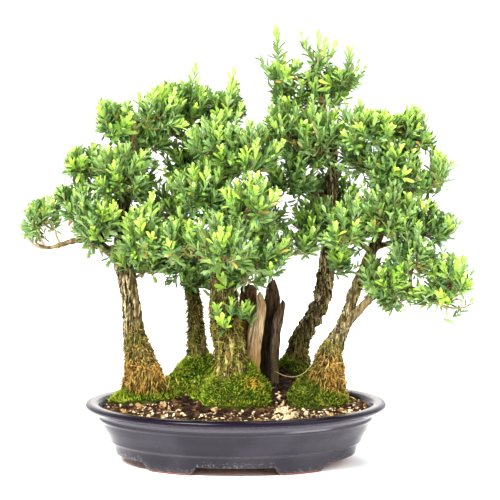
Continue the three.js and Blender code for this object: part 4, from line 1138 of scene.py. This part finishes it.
for number, (node, slab) in enumerate(SLABS.items()):
    sections = rounded(slab["sections"], 3)
    rings = np.linspace(0, len(sections) - 1, SLAB_RINGS)
    middle_x, middle_y, level, half_x, half_y = (
        np.interp(rings, np.arange(len(sections)), column)[:, None] for column in sections.T
    )
    angle = np.linspace(0, 2 * pi, SLAB_SIDES, endpoint=False)[None, :]
    round_grain = np.stack(np.broadcast_arrays(9 * np.cos(angle), 9 * np.sin(angle), level / 9), axis=-1)
    grain_line = ripples(round_grain, 4.0, 70 + number)
    split = np.clip(1 - np.abs(ripples(round_grain, 6.5, 80 + number)) * 3, 0, 1)
    square = (np.abs(np.cos(angle)) ** 3 + np.abs(np.sin(angle)) ** 3) ** (-1 / 3)
    reach = 0.93 * square * (1 + 0.07 * np.sin(3 * angle + number))
    x = middle_x + (half_x * reach + 0.9 * grain_line - 1.3 * split) * np.cos(angle)
    y = middle_y + (half_y * reach + 0.7 * grain_line - 0.8 * split) * np.sin(angle)
    near_top = np.clip((level - level[-1] + RAGGED_LENGTH) / RAGGED_LENGTH, 0, 1)
    ragged = 3 * np.sin(angle + 1.3 * number) + 1.6 * np.sin(5 * angle + number) + 1.5 * grain_line
    z = level + near_top * ragged - 2 * near_top
    deadwood, shade = finish(node.replace("stump", "deadwood"))
    lines = shade.noise(420, 4, (1, 1, 0.10), 0.7)
    stains = shade.noise(60, 4, (1, 1, 0.5), 0.65)
    colour = lines.step(0.36, 0.6).mix(slab["dark"], slab["pale"])
    colour = (stains.step(0.46, 0.62) * 0.75).mix(colour, slab["warm"])
    # Painted shade: the splits are darkened to a third of the slab's dark colour.
    colour = (shade.read("split") * 0.85).mix(colour, tuple(0.3 * c for c in slab["dark"]))
    low = 1 - (shade.height() + (stains - 0.5) * 0.06).step(0.115, 0.15)
    colour = (low * 0.8).mix(colour, lines.step(0.36, 0.6).mix(slab["dark"], slab["foot"]))
    relief = shade.bump(lines + stains * 0.5, 0.003)
    surface(shade, Base_Color=colour, Roughness=0.85, Specular_IOR_Level=0.2, Normal=relief)
    grid = np.stack([x, y, z], axis=-1)[None]
    stump = lofted(node.replace("stump", "old_wood"), [(grid, {"split": split})], deadwood)
    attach(stump, "root")
    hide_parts(node)


# The twigs and leaves. Every spray splits into twigs, and these into shoots that turn upwards
# and carry small leathery leaves in pairs. Each pair is square to the last, and many shoots
# end in fresh yellow-green ones. Leader shoots stand out along the crown's edge.
TWIGS_PER_SPRAY = 12
AIRY_SHARE = 0.62
SPRAY_HALF = 38
SHOOTS_PER_TWIG = 3
SHOOTS_PER_BOUGH = 6
STATIONS = 6
TWIG_RADII = (1.6, 1.05)
SHOOT_RADII = (1.0, 0.5)
PAIRS_PER_SHOOT = 7
LEAF_LENGTH = 15.2
LEAF_WIDTH = 5.2
LEAF_FOLD = 0.9
LEAF_CELLS = 8
LEAF_PAST_SHOOT = 9
LEADER_LENGTH = 52
LEADER_END = 8
FRESH_SHARE = 0.30
SUNNY_FRESH = 0.60
OLD_SHARE = 0.008
SUNNY_PLACES = [
    (-18, 366, 38), (-21, 271, 22), (140, 257, 28), (171, 392, 34), (-219, 303, 20), (-114, 428, 22),
    (56, 490, 36), (102, 478, 36), (-1, 448, 22), (-37, 454, 24), (-136, 295, 24), (241, 219, 24),
    (-67, 424, 26),
]
LEADERS = {
    "left": [(-253, 25, 302), (-212, 20, 331), (-164, 25, 434), (-117, 15, 440), (-195, 20, 375)],
    "back_left": [(-85, 60, 456), (-48, 65, 476), (-59, 60, 454)],
    "centre": [(-2, 0, 469), (10, -10, 430), (16, -15, 409)],
    "back_right": [
        (48, 60, 524), (25, 60, 485), (75, 60, 513), (99, 60, 513),
        (111, 60, 506), (125, 60, 502), (139, 60, 497), (151, 60, 479),
        (162, 60, 472), (151, 60, 449), (41, 60, 439), (52, 60, 480),
        (50, 60, 513), (26, 60, 475), (76, 60, 502), (98, 60, 503), (112, 60, 497), (125, 60, 492),
        (139, 60, 486), (151, 60, 468), (86, 60, 488), (60, 60, 492),
    ],
    "right": [
        (144, 20, 421), (176, 15, 418), (214, 20, 425), (224, 20, 416), (261, 10, 359), (271, 0, 286),
        (282, -10, 228), (283, -20, 196), (242, 0, 329),
    ],
}
SPROUTS = {
    "centre": [
        ((-16, -20, 168), (-22, -33, 188)), ((-6, -20, 172), (-5, -34, 194)), ((2, -18, 170), (9, -28, 186)),
        ((19, 3, 160), (15, -2, 184)), ((-10, -20, 160), (-15, -36, 172)),
    ],
    "left": [((-128, 12, 226), (-140, 2, 246)), ((-112, 10, 232), (-100, 2, 248))],
    "right": [((152, 0, 196), (163, -12, 214))],
}
CROWN_OUTLINE = np.array([
    (-258, 277), (-249, 304), (-222, 323), (-198, 334), (-201, 362), (-193, 377), (-165, 387), (-164, 418),
    (-157, 435), (-131, 428), (-116, 435), (-97, 447), (-82, 454), (-52, 454), (-49, 475), (-41, 462),
    (-37, 447), (-15, 440), (-2, 469), (3, 450), (4, 435), (16, 409), (30, 406), (42, 440), (35, 450),
    (25, 464), (33, 464), (45, 476), (52, 478), (58, 464), (74, 476), (95, 477), (108, 471), (121, 465),
    (136, 459), (150, 446), (147, 446), (146, 431), (143, 423), (174, 416), (203, 413), (212, 426),
    (222, 418), (222, 398), (238, 375), (260, 361), (257, 343), (242, 330), (220, 319), (238, 314),
    (242, 300), (265, 296), (273, 285), (254, 270), (250, 254), (269, 247), (284, 228), (281, 212),
    (288, 190), (266, 182), (250, 186), (236, 194), (217, 197), (205, 174), (186, 174), (167, 182),
    (161, 202), (156, 216), (133, 219), (114, 228), (91, 237), (67, 251), (46, 231), (38, 213), (0, 204),
    (-34, 203), (-60, 199), (-72, 205), (-114, 209), (-121, 222), (-147, 225), (-166, 248), (-193, 254),
    (-229, 253), (-250, 265),
])
# A leaf's points are its foot, two on its left edge, two on its rib, two on its right edge, two
# behind its rib, and its tip. The edges rise over the rib, and the leaf arches down to its tip.
LEAF_STATIONS = np.array([0.42, 0.83])
LEAF_HALF = np.array([0.92, 0.86]) / 2
leaf_edge = np.stack([LEAF_HALF, LEAF_STATIONS, 1.0 - 1.6 * LEAF_STATIONS**2], axis=1)
leaf_rib = np.stack([0 * LEAF_HALF, LEAF_STATIONS, 0.1 - 1.6 * LEAF_STATIONS**2], axis=1)
LEAF = np.concatenate([
    [(0, 0, 0)], leaf_edge * (-1, 1, 1), leaf_rib, leaf_edge, leaf_rib - (0, 0, 0.45), [(0, 0.985, -1.45)],
])
LEAF_FACES = [
    np.array([(1, 3, 4, 2), (3, 5, 6, 4), (2, 8, 7, 1), (8, 6, 5, 7)]),
    np.array([(0, 3, 1), (0, 5, 3), (2, 4, 9), (4, 6, 9), (0, 1, 7), (0, 7, 5), (2, 9, 8), (8, 9, 6)]),
]
LEAF_TOP_FACES = (2, 4)
LEAF_RIM = np.array([(0, 1), (1, 2), (2, 9), (6, 9), (5, 6), (0, 5)])


def leaf_uv(column, line):
    """Each leaf's place on its map: a cell by age and by tint, its upper face in the cell's left
    half and its back in the right half."""
    found = []
    for group, tops in zip(LEAF_FACES, LEAF_TOP_FACES):
        half = np.where(np.arange(len(group)) < tops, 0.25, 0.75)[:, None]
        u = half + 0.4 * LEAF[group][..., 0]
        v = 0.05 + 0.9 * LEAF[group][..., 1]
        u = (column[:, None, None] + u[None]) / LEAF_CELLS
        v = (line[:, None, None] + v[None]) / LEAF_CELLS
        found.append(np.stack([u, v], axis=-1).reshape(-1, 2))
    return np.concatenate(found)


leaf_stuff, shade = finish("boxwood_leaf")
spot = shade.node("UVMap", {"uv_map": "OFBake"})
u = shade.node("SeparateXYZ", inputs={0: spot}, output=0) * LEAF_CELLS
v = shade.node("SeparateXYZ", inputs={0: spot}, output=1) * LEAF_CELLS
age = u.maths("FLOOR", u) / (LEAF_CELLS - 1)
line = v.maths("FLOOR", v) / (LEAF_CELLS - 1)
inside = u.maths("FRACT", u)
along = v.maths("FRACT", v)
back = inside > 0.5
across = inside.maths("ABSOLUTE", inside.maths("FRACT", inside * 2) - 0.5) * 2.4
fresh = age.ramp([
    (0.0, (0.032, 0.098, 0.034)), (0.15, (0.07, 0.175, 0.050)), (0.3, (0.16, 0.30, 0.068)),
    (0.44, (0.29, 0.47, 0.080)), (0.58, (0.33, 0.53, 0.070)), (0.72, (0.42, 0.63, 0.070)),
    (0.86, (0.51, 0.71, 0.080)), (1.0, (0.46, 0.26, 0.07)),
])
blotch = shade.node("TexNoise", inputs={"Vector": spot, "Scale": 60, "Detail": 3})
veins = shade.node("TexWave", {"bands_direction": "Y"}, {"Vector": spot, "Scale": 46, "Distortion": 1.0})
colour = (line * 0.4).mix(fresh, age.mix((0.06, 0.16, 0.05), (0.14, 0.32, 0.07)))
dull = (line.maths("FRACT", line * 3.1) * 0.4).mix(colour, (0.11, 0.17, 0.028))
colour = (1 - age.step(0.5, 0.7)).mix(colour, dull)
colour = (blotch.step(0.45, 0.7) * 0.25).mix(colour, (0.10, 0.20, 0.03))
rib = 1 - across.step(0.02, 0.16)
colour = (rib * 0.4 * (1 - along * 0.6)).mix(colour, (0.42, 0.62, 0.12))
colour = (1 - along.step(0.03, 0.3)).mix(colour, (0.32, 0.5, 0.08))
colour = (back * 0.55).mix(colour, (0.24, 0.36, 0.11))
rough = 0.26 + back * 0.25 + blotch * 0.12
relief = shade.bump(veins * 0.25 + rib * -0.6 + blotch * 0.2, 0.0004, 0.6)
surface(shade, Base_Color=colour, Roughness=rough, Normal=relief, Specular_IOR_Level=0.8)

twig_stuff, shade = finish("twig_bark")
green = shade.read("green")
fleck = shade.noise(520, 3)
colour = green.mix((0.25, 0.185, 0.085), (0.28, 0.42, 0.06))
colour = (fleck.step(0.45, 0.65) * 0.4).mix(colour, (0.10, 0.065, 0.025))
surface(shade, Base_Color=colour, Roughness=0.7, Normal=shade.bump(fleck, 0.0005))


def bent(start, end, sag, count):
    """Points on arcs from start to end that run low in the middle and so turn upwards."""
    share = np.linspace(0, 1, count)[None, :, None]
    middle = (start + end) / 2 - UP * sag[:, None]
    arc = start[:, None] * (1 - share) ** 2 + 2 * middle[:, None] * share * (1 - share)
    return arc + end[:, None] * share**2


def in_crown(points):
    """True where points in mm lie inside the crown's outline, as it is seen from the front."""
    eye = CAMERA_FROM_POT / MM
    nearer = -eye[1] / (points[:, 1] - eye[1])
    x = eye[0] + (points[:, 0] - eye[0]) * nearer
    z = eye[2] + (points[:, 2] - eye[2]) * nearer
    inside = np.zeros(len(points), bool)
    for (x0, z0), (x1, z1) in zip(CROWN_OUTLINE, np.roll(CROWN_OUTLINE, -1, axis=0)):
        if z0 != z1:
            inside ^= ((z0 > z) != (z1 > z)) & (x < x0 + (z - z0) * (x1 - x0) / (z1 - z0))
    return inside


def on_path(paths, share):
    """Points at shares of the length of paths (n, stations, 3): share is (n, k)."""
    place = np.clip(share, 0, 0.9999) * (paths.shape[1] - 1)
    before = place.astype(int)
    blend = (place - before)[..., None]
    row = np.arange(len(paths))[:, None]
    return paths[row, before] * (1 - blend) + paths[row, before + 1] * blend


def grown(spray, bough, random):
    """Twigs of a spray, and the starts, ends and outward directions of its shoots. The twigs
    leave the bough's last quarter, each turned on by the golden section of a turn and rising more
    than the one before, and their shoots end on the spray's ellipsoid. A few shoots more leave
    the bough itself."""
    centre, half = spray["at"], spray["half"]
    lift = 0.5 if spray["airy"] else 0.2
    size = min(1, half[0] * half[2] / SPRAY_HALF**2)
    count = max(4, round(TWIGS_PER_SPRAY * size * (AIRY_SHARE if spray["airy"] else 1)))
    turn = (np.arange(count) + random.uniform(0, 1)) * (GOLDEN - 1) * 2 * pi
    rise = np.clip(np.linspace(-0.5, 0.95, count) + random.uniform(-0.1, 0.1, count), -0.6, 0.98)
    level = np.sqrt(1 - rise**2)
    out = np.stack([level * np.cos(turn), level * np.sin(turn), rise], axis=1)
    start = on_path(bough[None, :, :3], random.uniform(0.72, 1.0, (1, count)))[0]
    end = centre + half * (out * random.uniform(0.25, 0.5, (count, 1)) - 0.38 * UP)
    twigs = bent(start, end, 0.12 * np.linalg.norm(end - start, axis=1), STATIONS)
    shoots = []
    for number in range(SHOOTS_PER_TWIG):
        share = random.uniform(0.4, 1.0, (count, 1)) if number else np.ones((count, 1))
        away = unit(out + random.normal(0, 0.42, (count, 3)) + lift * UP)
        away[:, 2] = np.where(away[:, 2] < -0.35, away[:, 2] * 0.5, away[:, 2])
        away = unit(away)
        last = centre + away * half * random.uniform(0.74, 1.0, (count, 1))
        last[:, 2] += np.maximum(random.normal(-3, 9, count), 0)
        shoots.append((on_path(twigs, share)[:, 0], last, away))
    first = on_path(bough[None, :, :3], random.uniform(0.3, 0.95, (1, SHOOTS_PER_BOUGH)))[0]
    away = unit(random.normal(0, 1, first.shape) + 0.6 * UP)
    shoots.append((first, first + away * random.uniform(28, 44, (SHOOTS_PER_BOUGH, 1)), away))
    return twigs, shoots


def cut_back(start, end, out):
    """Shoots shortened to the greatest share of their length at which the leaf past their tip is
    in the crown's outline. Those with no such share are left out."""
    room = np.zeros(len(end))
    for share in np.linspace(0.3, 1.0, 15):
        tip = start + (end - start) * share + unit(end - start + 0.3 * UP) * LEAF_PAST_SHOOT
        room = np.where(in_crown(tip), share, room)
    end = start + (end - start) * room[:, None]
    return start[room > 0], end[room > 0], out[room > 0]


def fresh_shoots(end, out, random):
    """True for the shoots with fresh leaves: a random share of them, larger where a shoot faces
    up and near the crown's sunny places."""
    x, z, spread = np.array(SUNNY_PLACES).T
    sunny = np.exp(-((end[:, :1] - x) ** 2 + (end[:, 2:] - z) ** 2) / spread**2).max(axis=1)
    chance = FRESH_SHARE * np.clip(0.6 + 0.8 * out[:, 2], 0.1, 4) + SUNNY_FRESH * sunny
    return random.uniform(0, 1, len(end)) < chance


def leaf_pairs(shoots, end, out, random):
    """Feet, directions, upper faces, lengths, widths, ages and tints of the leaves on shoots, and
    which shoots are fresh. The pairs turn by a quarter from one to the next and open less
    towards the tip. Ages 0 to 3 are mature leaves, 4 to 6 fresh ones and 7 old brown ones."""
    pairs = (len(shoots), PAIRS_PER_SHOOT)
    from_tip = np.arange(PAIRS_PER_SHOOT)[::-1]
    share = np.linspace(0.14, 0.985, PAIRS_PER_SHOOT) + random.normal(0, 0.012, pairs)
    share = np.clip(share, 0.1, 0.99)
    at = on_path(shoots, share)
    before, after = np.clip(share - 0.05, 0, 0.95), np.clip(share + 0.05, 0, 1)
    ahead = unit(on_path(shoots, after) - on_path(shoots, before))
    side = unit(np.cross(ahead, unit(random.normal(size=(len(shoots), 1, 3)))))
    other = np.cross(ahead, side)
    quarter = np.arange(PAIRS_PER_SHOOT) % 2 * pi / 2 + random.normal(0, 0.18, pairs)
    opening = np.radians(np.linspace(52, 19, PAIRS_PER_SHOOT)) + random.normal(0, 0.13, pairs)
    fresh = fresh_shoots(end, out, random)
    fresh_pairs = random.integers(2, 6, (len(shoots), 1))
    is_fresh = fresh[:, None] & (from_tip < fresh_pairs)
    size = np.interp(from_tip, [0, 1, 2, 3], [0.62, 0.86, 1.0, 1.04])
    size = size * random.uniform(0.82, 1.12, (len(shoots), 1))
    sides = []
    for half_turn in (0, pi):
        phase = (quarter + half_turn)[..., None]
        radial = side * np.cos(phase) + other * np.sin(phase)
        lean = (opening + random.normal(0, 0.1, pairs))[..., None]
        along = ahead * np.cos(lean) + radial * np.sin(lean)
        along = unit(along + UP * 0.22 + random.normal(0, 0.10, along.shape))
        face = ahead * np.sin(lean) - radial * np.cos(lean)
        face = unit(face + UP * 0.25 + random.normal(0, 0.15, face.shape))
        face = unit(face - along * np.sum(face * along, axis=-1, keepdims=True))
        length = LEAF_LENGTH * size * random.uniform(0.88, 1.1, pairs) * np.where(is_fresh, 1.08, 0.93)
        width = LEAF_WIDTH * (0.35 + 0.65 * size) * random.uniform(0.8, 1.1, pairs)
        width = width * np.where(is_fresh, 1.06, 0.92)
        age = random.integers(0, 4, pairs)
        age = np.where(from_tip == 0, np.maximum(age, 2) + random.integers(0, 2, pairs), age)
        young = 6 - np.clip(from_tip - fresh_pairs + 2, 0, 2)
        young = young - random.integers(0, 2, pairs) * (from_tip > 0)
        age = np.where(is_fresh, np.clip(young, 4, 6), age)
        age = np.where(random.uniform(0, 1, pairs) < OLD_SHARE * from_tip, 7, age)
        tint = random.integers(0, LEAF_CELLS, pairs)
        sides.append((at + radial * 0.5, along, face, length, width, age, tint))
    return *(np.concatenate([v.reshape(-1, *v.shape[2:]) for v in values]) for values in zip(*sides)), fresh


for tree_number, name in enumerate(TREES):
    random = np.random.default_rng(900 + tree_number)
    twig_paths, spray_shoots = [], []
    for spray, bough in zip(sprays_of[name], boughs_of[name]):
        twigs, shoots = grown(spray, bough, random)
        twig_paths.append(twigs)
        spray_shoots += shoots
    lines = [cut_back(*(np.concatenate(found) for found in zip(*spray_shoots)))]
    middles = np.array([spray["at"] for spray in sprays_of[name]])
    for tip in np.array(LEADERS[name], float):
        nearest = middles[np.linalg.norm(middles - tip, axis=1).argmin()]
        inward = unit(unit(nearest - tip) - 0.5 * UP)
        lines.append(([tip + inward * LEADER_LENGTH], [tip + inward * LEADER_END], [UP]))
    for first, last in SPROUTS.get(name, []):
        lines.append(([first], [last], [4 * UP]))
    start, end, out = (np.concatenate(found) for found in zip(*lines))
    reach = np.linalg.norm(end - start, axis=1)
    sideways = np.linalg.norm((end - start)[:, :2], axis=1)
    shoots = bent(start, end, 0.08 * reach + 0.24 * sideways, STATIONS)

    places, alongs, faces_up, lengths, widths, ages, tints, fresh = leaf_pairs(shoots, end, out, random)
    across_leaf = np.cross(alongs, faces_up)
    fold = LEAF_FOLD * random.uniform(0.5, 1.6, len(places))
    axes = [across_leaf * widths[:, None], alongs * lengths[:, None], faces_up * fold[:, None]]
    points, faces = strewn(LEAF, LEAF_FACES, np.stack(axes, axis=1), places)
    leaves = mesh_object(
        f"leaves_{name}", points * MM + pot_middle, faces, leaf_stuff, loop_uv=leaf_uv(ages, tints),
    )
    edges = np.empty(len(leaves.data.edges) * 2, np.int32)
    leaves.data.edges.foreach_get("vertices", edges)
    edges = np.sort(edges.reshape(-1, 2) % len(LEAF), axis=1)
    sharp = np.isin(edges @ (100, 1), LEAF_RIM @ (100, 1))
    leaves.data.attributes.new("sharp_edge", "BOOLEAN", "EDGE").data.foreach_set("value", sharp)
    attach(leaves, "root")
    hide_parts(*spray_nodes[name])

    twig_grid, _ = tube_grids(np.concatenate(twig_paths), np.linspace(*TWIG_RADII, STATIONS), 4)
    shoot_grid, _ = tube_grids(shoots, np.linspace(*SHOOT_RADII, STATIONS), 3)
    green = np.where(fresh[:, None], np.linspace(0.3, 1, STATIONS), np.linspace(0.15, 0.6, STATIONS))
    bodies = [(twig_grid, {"green": 0.12}), (shoot_grid, {"green": green[..., None]})]
    twigs = lofted(f"twigs_{name}", bodies, twig_stuff)
    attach(twigs, "root")

# The bare twigs. Thin dead twigs without leaves grow from the boughs, past the crown at its two
# ends and one inside it, and a pale strand of root lies over the moss at the right tree's foot.
# Each station is x, y, z and the radius.
BARE_TWIGS = [
    [(-223, 26, 253, 1.6), (-235, 26, 252, 1.4), (-247, 26, 260, 1.2), (-252, 26, 270, 0.6)],
    [(-228, 26, 252, 1.5), (-233, 27, 261, 1.3), (-238, 28, 272, 1.0), (-236, 28, 284, 0.6)],
    [(-209, 26, 256, 1.5), (-215, 26, 265, 1.3), (-217, 26, 275, 1.0), (-223, 26, 287, 0.6)],
    [(225, -28, 204, 1.8), (239, -36, 191, 1.5), (263, -36, 186, 1.1), (283, -36, 197, 0.6)],
    [(113, 66, 372, 2.2), (104, 60, 368, 1.8), (92, 56, 362, 1.5), (66, 50, 345, 0.9)],
]
ROOT_STRAND = [
    (42, 28, 106, 0.4), (56, 6, 101, 0.5), (70, -8, 101, 0.55), (82, -12, 107, 0.55), (90, -7, 116, 0.5),
    (99, 4, 124, 0.4),
]
STRAY_STATIONS = 16
STRAY_SIDES = 6
for name, lines, green in (("bare_twigs", BARE_TWIGS, 0.0), ("root_strand", [ROOT_STRAND], 0.2)):
    paths = [smooth_path(line, 1) for line in lines]
    paths = np.stack([path[:: max(1, len(path) // STRAY_STATIONS)][:STRAY_STATIONS] for path in paths])
    grid, _ = tube_grids(paths[..., :3], paths[..., 3], STRAY_SIDES)
    stray = lofted(name, [(grid, {"green": green})], twig_stuff)
    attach(stray, "root")
